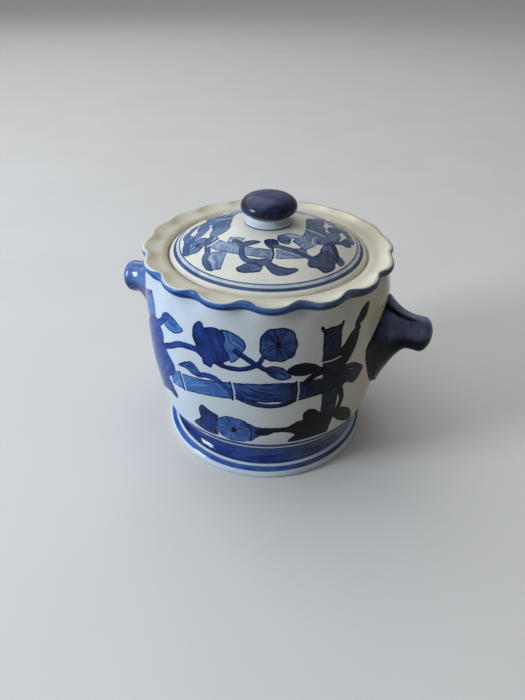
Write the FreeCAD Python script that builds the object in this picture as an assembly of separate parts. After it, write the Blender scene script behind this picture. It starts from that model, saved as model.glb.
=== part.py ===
import FreeCAD, Part
import math
import os

# A one-portion porcelain herb pot with a scalloped rim, two snout-shaped lugs, a domed
# lift-off lid and a flat inner lid. Millimetres, +Z up. The origin is the centre of the
# foot on the table, and the lugs lie along X.

# ---- Belly ----
belly_radius = 64.2           # widest place; the collar, seats, lids, foot and lugs follow it
belly_height = 60.0
shoulder_inset = 0.9          # how much narrower the belly is where the rim collar joins it
hip_inset = 3.0
hip_height = 34.0
heel_inset = 7.3
heel_height = 21.6
neck_inset = 13.8             # narrowest place, where belly and foot meet
wall = 5.0
floor_thickness = 5.5

# ---- Foot ----
foot_spread = 8.1             # from the neck to the widest part of the bead
foot_bead_height = 2.0        # height of that widest part
foot_tread_width = 6.4        # flat ring that stands on the table
foot_tread_inset = 0.5        # from the bead's widest part to the tread's outer edge
foot_step_spread = 3.8        # from the neck to where the cove meets the bead's sloping top
foot_step_height = 6.7
foot_cove_inset = 3.4         # how far the cove curves in beside its middle
foot_height = 16.6            # table to the bottom of the belly
foot_wall = 6.0               # wall at the neck

# ---- Rim collar ----
rim_height = 110.8            # table to the top edge
rim_inset = 0.7               # from the shoulder to the mean radius of the scalloped lip
scallop_count = 17
scallop_depth = 1.55          # each wave above and below the mean radius
scallop_points = 6            # points that draw one wave
lip_width = 2.4               # flat top of the lip
lip_height = 3.6              # upright band below the top edge
waist_inset = 0.9             # the wall draws in this much below the lip
waist_scallop_depth = 0.43    # the waves fade out towards the belly
slope_width = 11.2            # from the lip's mean radius in to the lid's recess
lid_seat_depth = 5.2          # below the top edge
slope_foot_rise = 2.1         # upright wall around the lid's edge
lid_seat_width = 5.4
inner_seat_depth = 6.9        # below the lid's seat
inner_seat_width = 5.5
gallery_thickness = 4.0

# ---- Domed lid ----
lid_side_gap = 1.3            # between the lid's edge and its recess
seat_gap = 0.3                # between a lid and the ledge it rests on
lid_edge_thickness = 2.2
lid_rise = 14.4               # from the edge's top to the flat under the knob
lid_thickness = 3.2
hollow_inset = 4.5            # from the inner seat's wall to the hollow under the dome
ring_side_gap = 1.0           # between the locating ring and the inner seat's wall
ring_width = 2.8
ring_depth = 3.0

# ---- Knob ----
knob_foot_radius = 11.8
knob_foot_height = 1.3
knob_waist_radius = 9.9
knob_waist_height = 3.1
knob_neck_radius = 10.8
knob_collar_height = 4.3
knob_radius = 13.9
knob_swell_height = 3.7       # from the collar to the cap's widest place
knob_cap_height = 9.9
knob_underside_slope = 0.4    # rise per run where the cap leaves its collar

# ---- Inner lid ----
inner_lid_side_gap = 0.7
inner_lid_thickness = 3.2
inner_lid_chamfer = 0.8
inner_knob_radius = 7.0
inner_knob_foot_radius = 5.6
inner_knob_waist_radius = 4.6
inner_knob_waist_height = 2.6
inner_knob_height = 9.0

# ---- Lugs ----
lug_length = 23.8             # from the belly's widest radius to the end of the snout
lug_height = 75.2             # middle of the snout
lug_root_top = 92.4
lug_root_bottom = 42.5
lug_root_half_width = 25.0    # where the flare meets the curved wall at its sides
snout_half_height = 8.9
snout_half_width = 8.2
snout_round = 5.4             # length of the rounded end
upper_flare_length = 20.0     # the flare's run out from the wall, above, below and beside
lower_flare_length = 12.6
side_flare_length = 22.0
upper_flare_power = 2.6
lower_flare_power = 1.55
side_flare_power = 2.3
root_upper_squareness = 1.75  # superellipse powers: 2 is an ellipse, more is squarer
root_lower_squareness = 2.2
snout_squareness = 2.0
lug_root_depth = 9.0          # how far the loft starts inside the wall, before it is cut
lug_section_points = 20
lug_flare_sections = 8
snout_round_shares = (0.0, 0.5, 0.8, 0.95)   # sections along the rounded end
snout_end_share = 0.12        # size of the last section, as a share of the snout

# ---- Derived radii ----
shoulder_radius = belly_radius - shoulder_inset
hip_radius = belly_radius - hip_inset
heel_radius = belly_radius - heel_inset
neck_radius = belly_radius - neck_inset
foot_radius = neck_radius + foot_spread
foot_step_radius = neck_radius + foot_step_spread
rim_radius = shoulder_radius - rim_inset
lid_seat_radius = rim_radius - slope_width
inner_seat_radius = lid_seat_radius - lid_seat_width
mouth_radius = inner_seat_radius - inner_seat_width
lid_radius = lid_seat_radius - lid_side_gap
lid_hollow_radius = inner_seat_radius - hollow_inset
lug_reach = belly_radius + lug_length

# ---- Derived heights ----
lid_seat_z = rim_height - lid_seat_depth
inner_seat_z = lid_seat_z - inner_seat_depth
collar_z = inner_seat_z - gallery_thickness
lid_under_z = lid_seat_z + seat_gap
lid_edge_z = lid_under_z + lid_edge_thickness
knob_z = lid_edge_z + lid_rise
cap_z = knob_z + knob_collar_height
inner_lid_z = inner_seat_z + seat_gap
inner_lid_top_z = inner_lid_z + inner_lid_thickness
inner_floor_z = foot_height + floor_thickness


def at(radius, z):
    """A point of a turned profile, in the XZ plane."""
    return FreeCAD.Vector(radius, 0, z)


def line(start, end):
    return Part.LineSegment(start, end).toShape()


def arc(start, middle, end):
    return Part.Arc(start, middle, end).toShape()


def curve(points):
    """A smooth curve through a few profile points."""
    spline = Part.BSplineCurve()
    spline.interpolate(points)
    return spline.toShape()


def turned(edges):
    """The solid that a closed profile sweeps around the pot's axis."""
    face = Part.Face(Part.Wire(edges))
    return face.revolve(FreeCAD.Vector(0, 0, 0), FreeCAD.Vector(0, 0, 1), 360)


def save(node, shape):
    shape.exportStep("parts/" + node + ".step")


# ---- Foot ring ----
def foot_ring():
    tread_outer = foot_radius - foot_tread_inset
    tread_inner = tread_outer - foot_tread_width
    neck_inner = neck_radius - foot_wall
    cove_middle = at((foot_step_radius + neck_radius) / 2 - foot_cove_inset / 2,
                     (foot_step_height + foot_height) / 2)
    return turned([
        line(at(tread_inner, 0), at(tread_outer, 0)),
        curve([at(tread_outer, 0), at(foot_radius, foot_bead_height),
               at(foot_step_radius, foot_step_height)]),
        arc(at(foot_step_radius, foot_step_height), cove_middle, at(neck_radius, foot_height)),
        line(at(neck_radius, foot_height), at(neck_inner, foot_height)),
        line(at(neck_inner, foot_height), at(tread_inner, 0)),
    ])


# ---- Belly ----
def belly_points(inset):
    """The belly's profile above the foot, moved in by inset."""
    return [
        at(heel_radius - inset, heel_height + inset / 2),
        at(hip_radius - inset, hip_height),
        at(belly_radius - inset, belly_height),
        at(shoulder_radius - inset, collar_z),
    ]


def belly_outline():
    return [at(neck_radius, foot_height)] + belly_points(0)


def pot_body():
    outer = belly_outline()
    inner = [at(neck_radius - wall, inner_floor_z)] + belly_points(wall)
    return turned([
        line(at(0, foot_height), outer[0]),
        curve(outer),
        line(outer[-1], inner[-1]),
        curve(inner),
        line(inner[0], at(0, inner_floor_z)),
        line(at(0, inner_floor_z), at(0, foot_height)),
    ])


def pot_envelope():
    """Everything inside the belly's outer face, to trim the lugs against."""
    outer = belly_outline()
    return turned([
        line(at(0, foot_height), outer[0]),
        curve(outer),
        line(outer[-1], at(shoulder_radius, rim_height)),
        line(at(shoulder_radius, rim_height), at(0, rim_height)),
        line(at(0, rim_height), at(0, foot_height)),
    ])


# ---- Rim collar ----
def scalloped_ring(radius, depth, z):
    """A closed wavy outline around the axis, with a lobe at the front (-Y)."""
    count = scallop_count * scallop_points
    points = []
    for i in range(count):
        turn = 2 * math.pi * i / count
        r = radius + depth * math.cos(scallop_count * turn)
        points.append(FreeCAD.Vector(r * math.sin(turn), -r * math.cos(turn), z))
    spline = Part.BSplineCurve()
    spline.interpolate(Points=points, PeriodicFlag=True)
    return Part.Wire(spline.toShape())


def rim_collar():
    lip_bottom = rim_height - lip_height
    waist_z = (collar_z + lip_bottom) / 2
    outside = Part.makeLoft([
        scalloped_ring(shoulder_radius, 0, collar_z),
        scalloped_ring(shoulder_radius - waist_inset, waist_scallop_depth, waist_z),
        scalloped_ring(rim_radius, scallop_depth, lip_bottom),
        scalloped_ring(rim_radius, scallop_depth, rim_height),
    ], True, True)
    lid_recess = Part.makeLoft([
        scalloped_ring(lid_seat_radius, 0, lid_seat_z),
        scalloped_ring(lid_seat_radius, 0, lid_seat_z + slope_foot_rise),
        scalloped_ring(rim_radius - lip_width, scallop_depth, rim_height),
    ], True, True)
    inner_recess = Part.makeCylinder(inner_seat_radius, inner_seat_depth, at(0, inner_seat_z))
    mouth = Part.makeCylinder(mouth_radius, gallery_thickness, at(0, collar_z))
    return outside.cut(lid_recess).cut(inner_recess).cut(mouth)


# ---- Lugs ----
def lug_section(x, upper, lower, side, upper_power, lower_power):
    """A closed outline square to the lug: its reach up, down and sideways from lug_height."""
    points = []
    for i in range(lug_section_points):
        turn = 2 * math.pi * i / lug_section_points
        across, along = math.sin(turn), math.cos(turn)
        power = upper_power if along >= 0 else lower_power
        reach = upper if along >= 0 else lower
        y = math.copysign(side * abs(across) ** (2 / power), across)
        z = math.copysign(reach * abs(along) ** (2 / power), along)
        points.append(FreeCAD.Vector(x, y, lug_height + z))
    spline = Part.BSplineCurve()
    spline.interpolate(Points=points, PeriodicFlag=True)
    return Part.Wire(spline.toShape())


def flare(x, start, length, power):
    """1 where the flare starts at the wall, 0 where it has run out into the neck."""
    left = max(0.0, (start + length - x) / length)
    return min(1.0, left ** power)


def lug():
    """The lug on the +X side: a flared root that narrows to a round-ended snout."""
    side_root = math.sqrt(belly_radius ** 2 - lug_root_half_width ** 2)
    first = belly_radius - lug_root_depth
    neck = side_root + side_flare_length
    sections = []
    for i in range(lug_flare_sections + 1):
        x = first + (neck - first) * i / lug_flare_sections
        up = flare(x, belly_radius, upper_flare_length, upper_flare_power)
        down = flare(x, belly_radius, lower_flare_length, lower_flare_power)
        out = flare(x, side_root, side_flare_length, side_flare_power)
        upper = snout_half_height + up * (lug_root_top - lug_height - snout_half_height)
        lower = snout_half_height + down * (lug_height - lug_root_bottom - snout_half_height)
        side = snout_half_width + out * (lug_root_half_width - snout_half_width)
        sections.append(lug_section(
            x, upper, lower, side,
            snout_squareness + out * (root_upper_squareness - snout_squareness),
            snout_squareness + out * (root_lower_squareness - snout_squareness)))
    round_start = lug_reach - snout_round
    for share in snout_round_shares:
        size = math.sqrt(1 - share ** 2)
        sections.append(lug_section(
            round_start + share * snout_round,
            snout_half_height * size, snout_half_height * size, snout_half_width * size,
            snout_squareness, snout_squareness))
    sections.append(lug_section(
        lug_reach,
        snout_half_height * snout_end_share, snout_half_height * snout_end_share,
        snout_half_width * snout_end_share, snout_squareness, snout_squareness))
    return Part.makeLoft(sections, True, False)


# ---- Domed lid ----
def sphere_through(edge_radius, edge_z, top_radius, top_z):
    """Centre height and radius of the sphere, centred on the axis, through two profile points."""
    centre = ((top_radius ** 2 + top_z ** 2 - edge_radius ** 2 - edge_z ** 2)
              / (2 * (top_z - edge_z)))
    return centre, math.hypot(edge_radius, edge_z - centre)


def on_sphere(centre, radius, r):
    return at(r, centre + math.sqrt(radius ** 2 - r ** 2))


def lid_dome():
    centre, outer = sphere_through(lid_radius, lid_edge_z, knob_foot_radius, knob_z)
    inner = outer - lid_thickness
    hollow_edge = on_sphere(centre, inner, lid_hollow_radius)
    pad_edge = at(knob_foot_radius, knob_z)
    return turned([
        line(at(lid_hollow_radius, lid_under_z), at(lid_radius, lid_under_z)),
        line(at(lid_radius, lid_under_z), at(lid_radius, lid_edge_z)),
        arc(at(lid_radius, lid_edge_z),
            on_sphere(centre, outer, (lid_radius + knob_foot_radius) / 2), pad_edge),
        line(pad_edge, at(0, knob_z)),
        line(at(0, knob_z), on_sphere(centre, inner, 0)),
        arc(on_sphere(centre, inner, 0),
            on_sphere(centre, inner, lid_hollow_radius / 2), hollow_edge),
        line(hollow_edge, at(lid_hollow_radius, lid_under_z)),
    ])


def lid_locating_ring():
    outer = inner_seat_radius - ring_side_gap
    bottom = at(0, lid_under_z - ring_depth)
    ring = Part.makeCylinder(outer, ring_depth, bottom)
    return ring.cut(Part.makeCylinder(outer - ring_width, ring_depth, bottom))


# ---- Knob ----
def mushroom(neck, widest, top):
    """The outline of a cap: a swelling underside and a flattened dome, square to the axis."""
    outline = Part.BSplineCurve()
    outline.interpolate(Points=[neck, widest, top],
                        Tangents=[FreeCAD.Vector(1, 0, knob_underside_slope), FreeCAD.Vector(0, 0, 1),
                                  FreeCAD.Vector(-1, 0, 0)],
                        TangentFlags=[True, True, True])
    return outline.toShape()


def knob_collar():
    foot_top = at(knob_foot_radius, knob_z + knob_foot_height)
    neck = at(knob_neck_radius, cap_z)
    waist = at(knob_waist_radius, knob_z + knob_waist_height)
    return turned([
        line(at(0, knob_z), at(knob_foot_radius, knob_z)),
        line(at(knob_foot_radius, knob_z), foot_top),
        curve([foot_top, waist, neck]),
        line(neck, at(0, cap_z)),
        line(at(0, cap_z), at(0, knob_z)),
    ])


def knob_cap():
    neck = at(knob_neck_radius, cap_z)
    widest = at(knob_radius, cap_z + knob_swell_height)
    top = at(0, cap_z + knob_cap_height)
    return turned([
        line(at(0, cap_z), neck),
        mushroom(neck, widest, top),
        line(top, at(0, cap_z)),
    ])


# ---- Inner lid ----
def inner_lid_disc():
    radius = inner_seat_radius - inner_lid_side_gap
    disc = Part.makeCylinder(radius, inner_lid_thickness, at(0, inner_lid_z))
    return disc.makeChamfer(inner_lid_chamfer, [e for e in disc.Edges if e.Closed])


def inner_lid_knob():
    middle_height = (inner_knob_waist_height + inner_knob_height) / 2
    foot = at(inner_knob_foot_radius, inner_lid_top_z)
    waist = at(inner_knob_waist_radius, inner_lid_top_z + inner_knob_waist_height)
    widest = at(inner_knob_radius, inner_lid_top_z + middle_height)
    top = at(0, inner_lid_top_z + inner_knob_height)
    return turned([
        line(at(0, inner_lid_top_z), foot),
        line(foot, waist),
        mushroom(waist, widest, top),
        line(top, at(0, inner_lid_top_z)),
    ])


os.makedirs("parts", exist_ok=True)

collar = rim_collar()
right_lug = lug().cut(pot_envelope())
left_lug = right_lug.copy()
left_lug.rotate(FreeCAD.Vector(0, 0, 0), FreeCAD.Vector(0, 0, 1), 180)

save("foot_ring", foot_ring())
save("pot_body", pot_body())
save("rim_collar", collar)
save("right_lug", right_lug.cut(collar))
save("left_lug", left_lug.cut(collar))
save("lid_dome", lid_dome())
save("lid_locating_ring", lid_locating_ring())
save("knob_collar", knob_collar())
save("knob_cap", knob_cap())
save("inner_lid_disc", inner_lid_disc())
save("inner_lid_knob", inner_lid_knob())
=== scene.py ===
"""A one-portion porcelain herb pot with blue brushwork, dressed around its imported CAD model.

The file is laid out as an add-on and run as a script. Properties hold the sizes and colours
that a user would change, one operator makes each group of pieces, and a sidebar panel lists
them. Shapes and brush marks are given in millimetres and stored in metres. A place on the
wall is given as degrees round from the middle of the painted front, towards the right lug,
and millimetres above the table. A place on the lid is given in millimetres from its middle.
"""
import math

import bpy
import numpy as np
from mathutils import Matrix, Vector


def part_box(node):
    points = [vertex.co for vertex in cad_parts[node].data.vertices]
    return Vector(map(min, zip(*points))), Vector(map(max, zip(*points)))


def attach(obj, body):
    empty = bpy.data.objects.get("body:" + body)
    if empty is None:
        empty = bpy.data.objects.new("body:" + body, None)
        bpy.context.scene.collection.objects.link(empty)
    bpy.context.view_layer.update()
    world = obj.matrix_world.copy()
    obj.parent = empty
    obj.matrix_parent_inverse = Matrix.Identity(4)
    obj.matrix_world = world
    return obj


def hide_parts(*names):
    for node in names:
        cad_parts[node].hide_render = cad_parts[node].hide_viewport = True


bl_info = {
    "name": "Porcelain Herb Pot",
    "version": (1, 0, 0),
    "blender": (4, 5, 0),
    "location": "View3D > Sidebar > Herb Pot",
    "description": "Makes a blue-and-white porcelain herb pot with a scalloped rim and two lids",
    "category": "Add Mesh",
}

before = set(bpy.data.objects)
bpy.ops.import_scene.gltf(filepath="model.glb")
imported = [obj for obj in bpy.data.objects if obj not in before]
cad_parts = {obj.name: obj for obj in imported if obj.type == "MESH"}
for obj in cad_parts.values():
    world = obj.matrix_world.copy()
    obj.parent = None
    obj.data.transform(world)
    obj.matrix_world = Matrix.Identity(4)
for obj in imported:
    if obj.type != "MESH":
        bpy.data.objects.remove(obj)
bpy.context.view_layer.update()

MM = 0.001


def low_mm(node):
    """A CAD node's lowest corner, in millimetres."""
    return Vector(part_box(node)[0]) / MM


def high_mm(node):
    """A CAD node's highest corner, in millimetres."""
    return Vector(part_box(node)[1]) / MM


# ---- Sizes that follow the CAD nodes, in millimetres ----
FOOT_TOP = high_mm("foot_ring").z
FOOT_RADIUS = high_mm("foot_ring").y
BELLY_RADIUS = high_mm("pot_body").y
COLLAR_BOTTOM = low_mm("rim_collar").z
RIM_TOP = high_mm("rim_collar").z
LID_RADIUS = high_mm("lid_dome").x
LID_BOTTOM = low_mm("lid_dome").z
LID_TOP = high_mm("lid_dome").z
KNOB_FOOT_RADIUS = high_mm("knob_collar").x
CAP_BOTTOM = low_mm("knob_cap").z
CAP_TOP = high_mm("knob_cap").z
CAP_RADIUS = high_mm("knob_cap").x
DISC_BOTTOM = low_mm("inner_lid_disc").z
DISC_TOP = high_mm("inner_lid_disc").z
DISC_RADIUS = high_mm("inner_lid_disc").x
SMALL_KNOB_TOP = high_mm("inner_lid_knob").z
SMALL_KNOB_RADIUS = high_mm("inner_lid_knob").x
LUG_REACH = high_mm("right_lug").x

# ---- Brushwork ----
FRONT_TURN = 19.0             # degrees from -Y to the middle of the painted front
MM_PER_DEGREE = 1.108         # along the wall
FAR = 9.0                     # a distance from any brush mark that counts as bare ground
NODE_LINES = ((0, 0.9, "bare"), (-1.0, 1.0, "ink"))     # shift along a cane, width and layer
NODE_TONE = 0.95
OUTLINE = 0.36                # how dark the line is where the pigment gathers round a wash


# ============================================================================
# Curves
# ============================================================================
def smooth(points, closed=False, steps=6):
    """Points along a smooth curve through the given ones."""
    pts = np.asarray(points, float)
    count = len(pts)
    last = count if closed else count - 1
    out = []
    for i in range(last):
        if closed:
            a, b, c, d = (pts[(i + k) % count] for k in (-1, 0, 1, 2))
        else:
            a, b, c, d = (pts[min(max(i + k, 0), count - 1)] for k in (-1, 0, 1, 2))
        for step in range(steps):
            t = step / steps
            out.append(0.5 * (2 * b + (c - a) * t + (2 * a - 5 * b + 4 * c - d) * t ** 2
                              + (3 * b - a - 3 * c + d) * t ** 3))
    if not closed:
        out.append(pts[-1])
    return np.array(out)


def arc_length(path):
    """Distance along a path to each of its points."""
    return np.concatenate([[0], np.cumsum(np.linalg.norm(np.diff(path, axis=0), axis=1))])


def spline(points, spacing):
    """Evenly spaced points on the smoothest curve through a few profile points."""
    pts = np.asarray(points, float)
    length = arc_length(pts)
    step = np.diff(length)
    count = len(pts)
    system = np.eye(count)
    right = np.zeros((count, pts.shape[1]))
    for i in range(1, count - 1):
        system[i, i - 1:i + 2] = step[i - 1], 2 * (step[i - 1] + step[i]), step[i]
        right[i] = 6 * ((pts[i + 1] - pts[i]) / step[i] - (pts[i] - pts[i - 1]) / step[i - 1])
    bend = np.linalg.solve(system, right)
    at = np.linspace(0, length[-1], max(2, round(length[-1] / spacing) + 1))
    seg = np.clip(np.searchsorted(length, at, side="right") - 1, 0, count - 2)
    h = step[seg][:, None]
    a = (length[seg + 1] - at)[:, None] / h
    b = (at - length[seg])[:, None] / h
    return (a * pts[seg] + b * pts[seg + 1]
            + ((a ** 3 - a) * bend[seg] + (b ** 3 - b) * bend[seg + 1]) * h ** 2 / 6)


def runs(*parts):
    """One profile from several runs of points, without the repeated ends."""
    rows = [np.asarray(parts[0], float)]
    for part in parts[1:]:
        part = np.asarray(part, float)
        repeated = np.allclose(part[0], rows[-1][-1], atol=1e-6)
        rows.append(part[1:] if repeated else part)
    return np.concatenate(rows)


def straight(start, end, spacing):
    """Evenly spaced points on a straight run."""
    start, end = np.array(start, float), np.array(end, float)
    count = max(2, round(np.linalg.norm(end - start) / spacing) + 1)
    return start + (end - start) * np.linspace(0, 1, count)[:, None]


# ============================================================================
# Meshes
# ============================================================================
def make_object(name, verts, faces):
    mesh = bpy.data.meshes.new(name)
    mesh.from_pydata(verts * MM, [], faces)
    mesh.update()
    mesh.shade_smooth()
    obj = bpy.data.objects.new(name, mesh)
    bpy.context.scene.collection.objects.link(obj)
    return obj


def grid_faces(rows, columns, closed=False):
    """Quads between rows of points. The columns close round, and the rows do too if closed."""
    i, j = np.meshgrid(np.arange(rows if closed else rows - 1), np.arange(columns), indexing="ij")
    up, across = (i + 1) % rows, (j + 1) % columns
    return np.stack([i * columns + j, i * columns + across,
                     up * columns + across, up * columns + j], axis=-1).reshape(-1, 4)


def turned(name, profile, segments, wave=None, creases=()):
    """A closed surface turned from a profile of (radius, height), run anticlockwise.

    A profile that starts and ends on the axis gets a pole there, and any other is a ring.
    wave(rows, angle) gives how far each point moves outwards and up. creases are profile rows
    whose edge stays sharp. It returns the object, and the angle and row of each vertex.
    """
    poles = profile[0, 0] < 1e-6 and profile[-1, 0] < 1e-6
    rows = profile[1:-1] if poles else profile
    angle = np.linspace(0, 2 * math.pi, segments, endpoint=False)
    radius = np.repeat(rows[:, :1], segments, axis=1)
    height = np.repeat(rows[:, 1:2], segments, axis=1)
    if wave is not None:
        outwards, up = wave(rows, angle[None, :])
        radius, height = radius + outwards, height + up
    count = len(rows)
    verts = np.stack([radius * np.sin(angle), -radius * np.cos(angle), height], -1).reshape(-1, 3)
    faces = grid_faces(count, segments, closed=not poles).tolist()
    angles, row_of = np.tile(angle, count), np.repeat(np.arange(count), segments)
    if poles:
        first, last = len(verts), len(verts) + 1
        verts = np.vstack([verts, [[0, 0, profile[0, 1]], [0, 0, profile[-1, 1]]]])
        angles, row_of = np.append(angles, [0, 0]), np.append(row_of, [0, count - 1])
        top = (count - 1) * segments
        for k in range(segments):
            beside = (k + 1) % segments
            faces.append([first, beside, k])
            faces.append([last, top + k, top + beside])
    obj = make_object(name, verts, faces)
    if creases:
        mark_creases(obj.data, row_of, creases)
    return obj, angles, row_of


def mark_creases(mesh, row_of, creases):
    ends = np.empty(len(mesh.edges) * 2, int)
    mesh.edges.foreach_get("vertices", ends)
    rows = row_of[ends.reshape(-1, 2)]
    sharp = (rows[:, 0] == rows[:, 1]) & np.isin(rows[:, 0], creases)
    mesh.attributes.new("sharp_edge", "BOOLEAN", "EDGE").data.foreach_set("value", sharp)


def nearest_row(profile, point):
    """The row of a turned profile that lies nearest a point. A pole is not counted."""
    rows = profile[1:-1] if profile[0, 0] < 1e-6 else profile
    return int(np.argmin(np.linalg.norm(rows - np.array(point), axis=1)))


def positions(obj):
    """Vertex places in millimetres."""
    co = np.empty(len(obj.data.vertices) * 3)
    obj.data.vertices.foreach_get("co", co)
    return co.reshape(-1, 3) / MM


def store(obj, name, values):
    """Keeps one number or one vector for each vertex, for the glaze to read."""
    values = np.asarray(values, float)
    kind = "FLOAT" if values.ndim == 1 else "FLOAT_VECTOR"
    field = "value" if values.ndim == 1 else "vector"
    obj.data.attributes.new(name, kind, "POINT").data.foreach_set(field, values.ravel())


# ============================================================================
# Brush marks
# ============================================================================
def outline_distance(x, y, outline):
    """Distance to a closed outline, negative inside."""
    nearest = np.full(len(x), 1e9)
    inside = np.zeros(len(x), bool)
    for (ax, ay), (bx, by) in zip(outline, np.roll(outline, -1, axis=0)):
        dx, dy = bx - ax, by - ay
        share = np.clip(((x - ax) * dx + (y - ay) * dy) / max(dx * dx + dy * dy, 1e-12), 0, 1)
        nearest = np.minimum(nearest, (x - ax - share * dx) ** 2 + (y - ay - share * dy) ** 2)
        if ay != by:
            crosses = (ay > y) != (by > y)
            inside ^= crosses & (x < ax + (y - ay) * dx / dy)
    return np.where(inside, -1, 1) * np.sqrt(nearest)


def path_measure(x, y, path, half_widths):
    """Distance to the edge of a stroke of changing width, and places along it and across it."""
    nearest = np.full(len(x), 1e9)
    along, across, done = np.zeros(len(x)), np.zeros(len(x)), 0.0
    for k in range(len(path) - 1):
        (ax, ay), (bx, by) = path[k], path[k + 1]
        dx, dy = bx - ax, by - ay
        length = max(math.hypot(dx, dy), 1e-6)
        share = np.clip(((x - ax) * dx + (y - ay) * dy) / length ** 2, 0, 1)
        width = half_widths[k] + share * (half_widths[k + 1] - half_widths[k])
        gap = np.hypot(x - ax - share * dx, y - ay - share * dy) - width
        closer = gap < nearest
        nearest[closer] = gap[closer]
        along[closer] = done + share[closer] * length
        across[closer] = (((y - ay) * dx - (x - ax) * dy) / length)[closer]
        done += length
    return nearest, along, across


def ribbon(path, widths):
    """The square-ended outline of a band along a path."""
    path = np.asarray(path, float)
    run = np.gradient(path, axis=0)
    side = np.stack([-run[:, 1], run[:, 0]], -1) / np.linalg.norm(run, axis=1)[:, None]
    half = np.asarray(widths, float)[:, None] / 2
    return np.concatenate([path + side * half, (path - side * half)[::-1]])


class Painting:
    """Distances from every vertex of a surface to the brush marks laid on it.

    x and y are the vertices' places on the flat layout, in millimetres. wrap is the length
    after which the layout comes round again. Marks are given in units of scale, and place()
    says where their origin goes, how they are turned and how much their tones are scaled,
    below 1 for a painted sheen that lightens them. A tone is 0 for bare glaze and 1 for the
    thickest cobalt, or several tones from a mark's start to its end. Later washes cover
    earlier ones, and inks join.
    """

    def __init__(self, x, y, scale=(1.0, 1.0), wrap=None):
        self.x, self.y, self.wrap = x, y, wrap
        self.scale = np.array(scale)
        self.origin, self.turn, self.sheen_scale = np.zeros(2), 0.0, 1.0
        size = len(x)
        self.edge = {layer: np.full(size, FAR) for layer in ("wash", "ink", "bare")}
        self.tone = {layer: np.zeros(size) for layer in self.edge}
        self.brush = np.zeros((size, 3))
        self.steady = np.zeros(size)
        self.marks = 0

    def place(self, origin=(0, 0), turn=0.0, sheen_scale=1.0):
        self.origin, self.turn, self.sheen_scale = np.array(origin, float), math.radians(turn), sheen_scale

    def flat(self, points):
        """Points of a mark, on the layout."""
        pts = np.asarray(points, float) * self.scale
        cos, sin = math.cos(self.turn), math.sin(self.turn)
        pts = pts @ np.array([[cos, sin], [-sin, cos]])
        return pts + self.origin * self.scale

    def lay(self, layer, points, tone, measure, length=1.0, margin=3.0):
        """Lays one mark, given points that span it and what measures places against it."""
        self.marks += 1
        centre = (points.min(0) + points.max(0)) / 2
        x = self.x - centre[0]
        if self.wrap:
            x = (x + self.wrap / 2) % self.wrap - self.wrap / 2
        reach = (points.max(0) - points.min(0)) / 2 + margin
        near = np.flatnonzero((np.abs(x) < reach[0]) & (np.abs(self.y - centre[1]) < reach[1]))
        if not len(near):
            return
        distance, along, across = measure(x[near] + centre[0], self.y[near])
        closer = distance < self.edge[layer][near]
        if layer == "wash":
            closer |= distance < 0
        hit = near[closer]
        tones = np.atleast_1d(tone) * self.sheen_scale
        self.edge[layer][hit] = distance[closer]
        self.tone[layer][hit] = np.interp(along[closer], np.linspace(0, length, len(tones)), tones)
        if layer != "bare":
            self.brush[hit] = np.stack([along, across, np.full(len(near), self.marks)], -1)[closer]

    def blot(self, points, tone, layer="ink", soft=True):
        """A filled shape inside a smooth or straight-sided outline, brushed along its length."""
        outline = self.flat(points)
        if soft:
            outline = smooth(outline, closed=True, steps=4)
        middle = outline.mean(0)
        run = np.linalg.svd(outline - middle, full_matrices=False)[2][0]

        def measure(x, y):
            dx, dy = x - middle[0], y - middle[1]
            return (outline_distance(x, y, outline), dx * run[0] + dy * run[1],
                    dy * run[0] - dx * run[1])
        self.lay(layer, outline, tone, measure)

    def line(self, layer, path, half, tone, margin):
        """A mark along a path, given half its width at each point."""
        self.lay(layer, path, tone, lambda x, y: path_measure(x, y, path, half),
                 arc_length(path)[-1], margin)

    def stroke(self, points, width, tone, layer="ink", tip=None):
        """A brush stroke of one width, or one that changes to tip at its end."""
        path = smooth(self.flat(points), steps=4)
        half = np.linspace(width, width if tip is None else tip, len(path)) / 2
        self.line(layer, path, half, tone, 3.0 + width)

    def leaf(self, start, end, width, tone, layer="ink", bend=0.0):
        """A pointed leaf, bowed sideways by bend."""
        ends = self.flat([start, end])
        share = np.linspace(0, 1, 11)
        run = ends[1] - ends[0]
        side = np.array([-run[1], run[0]]) / np.linalg.norm(run)
        bow = 4 * share * (1 - share) * bend
        path = ends[0] + run * share[:, None] + side * bow[:, None]
        half = width / 2 * np.sin(math.pi * share ** 0.85) ** 0.75
        self.line(layer, path, half, tone, 3.0 + width)

    def cane(self, points, widths, tone, nodes=()):
        """A bamboo cane, with a pale line and a dark one across it at each node."""
        fine = smooth(self.flat(points), steps=4)
        wide = np.interp(np.linspace(0, 1, len(fine)), np.linspace(0, 1, len(widths)), widths)
        outline = ribbon(fine, wide)
        middle = np.zeros(len(fine))

        def measure(x, y):
            return (outline_distance(x, y, outline), *path_measure(x, y, fine, middle)[1:])
        length = arc_length(fine)
        self.lay("wash", outline, tone, measure, length[-1])
        for share in nodes:
            k = int(np.argmin(np.abs(length - share * length[-1])))
            run = fine[min(k + 1, len(fine) - 1)] - fine[max(k - 1, 0)]
            run = run / np.linalg.norm(run)
            side = np.array([-run[1], run[0]])
            reach = 0.53 * wide[k]
            for shift, thick, layer in NODE_LINES:
                middle_point = fine[k] + run * shift
                across = np.array([middle_point - side * reach, middle_point + run * 0.5,
                                   middle_point + side * reach])
                self.line(layer, across, np.full(3, thick / 2), NODE_TONE, 3.0)

    def bloom(self, centre, radii, tone, petals=9, heart=1.3):
        """A round open flower: a blue disc, thin dark spokes and a dark heart."""
        middle = self.flat([centre])[0]
        radii = np.array(radii, float)
        turn = np.linspace(0, 2 * math.pi, 8 * petals, endpoint=False)
        spokes = np.stack([np.cos(turn), np.sin(turn)], -1)
        wavy = 1 - 0.035 * np.cos(4 * turn) + 0.016 * np.cos(petals * turn)
        outline = middle + spokes * radii * wavy[:, None]

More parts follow.
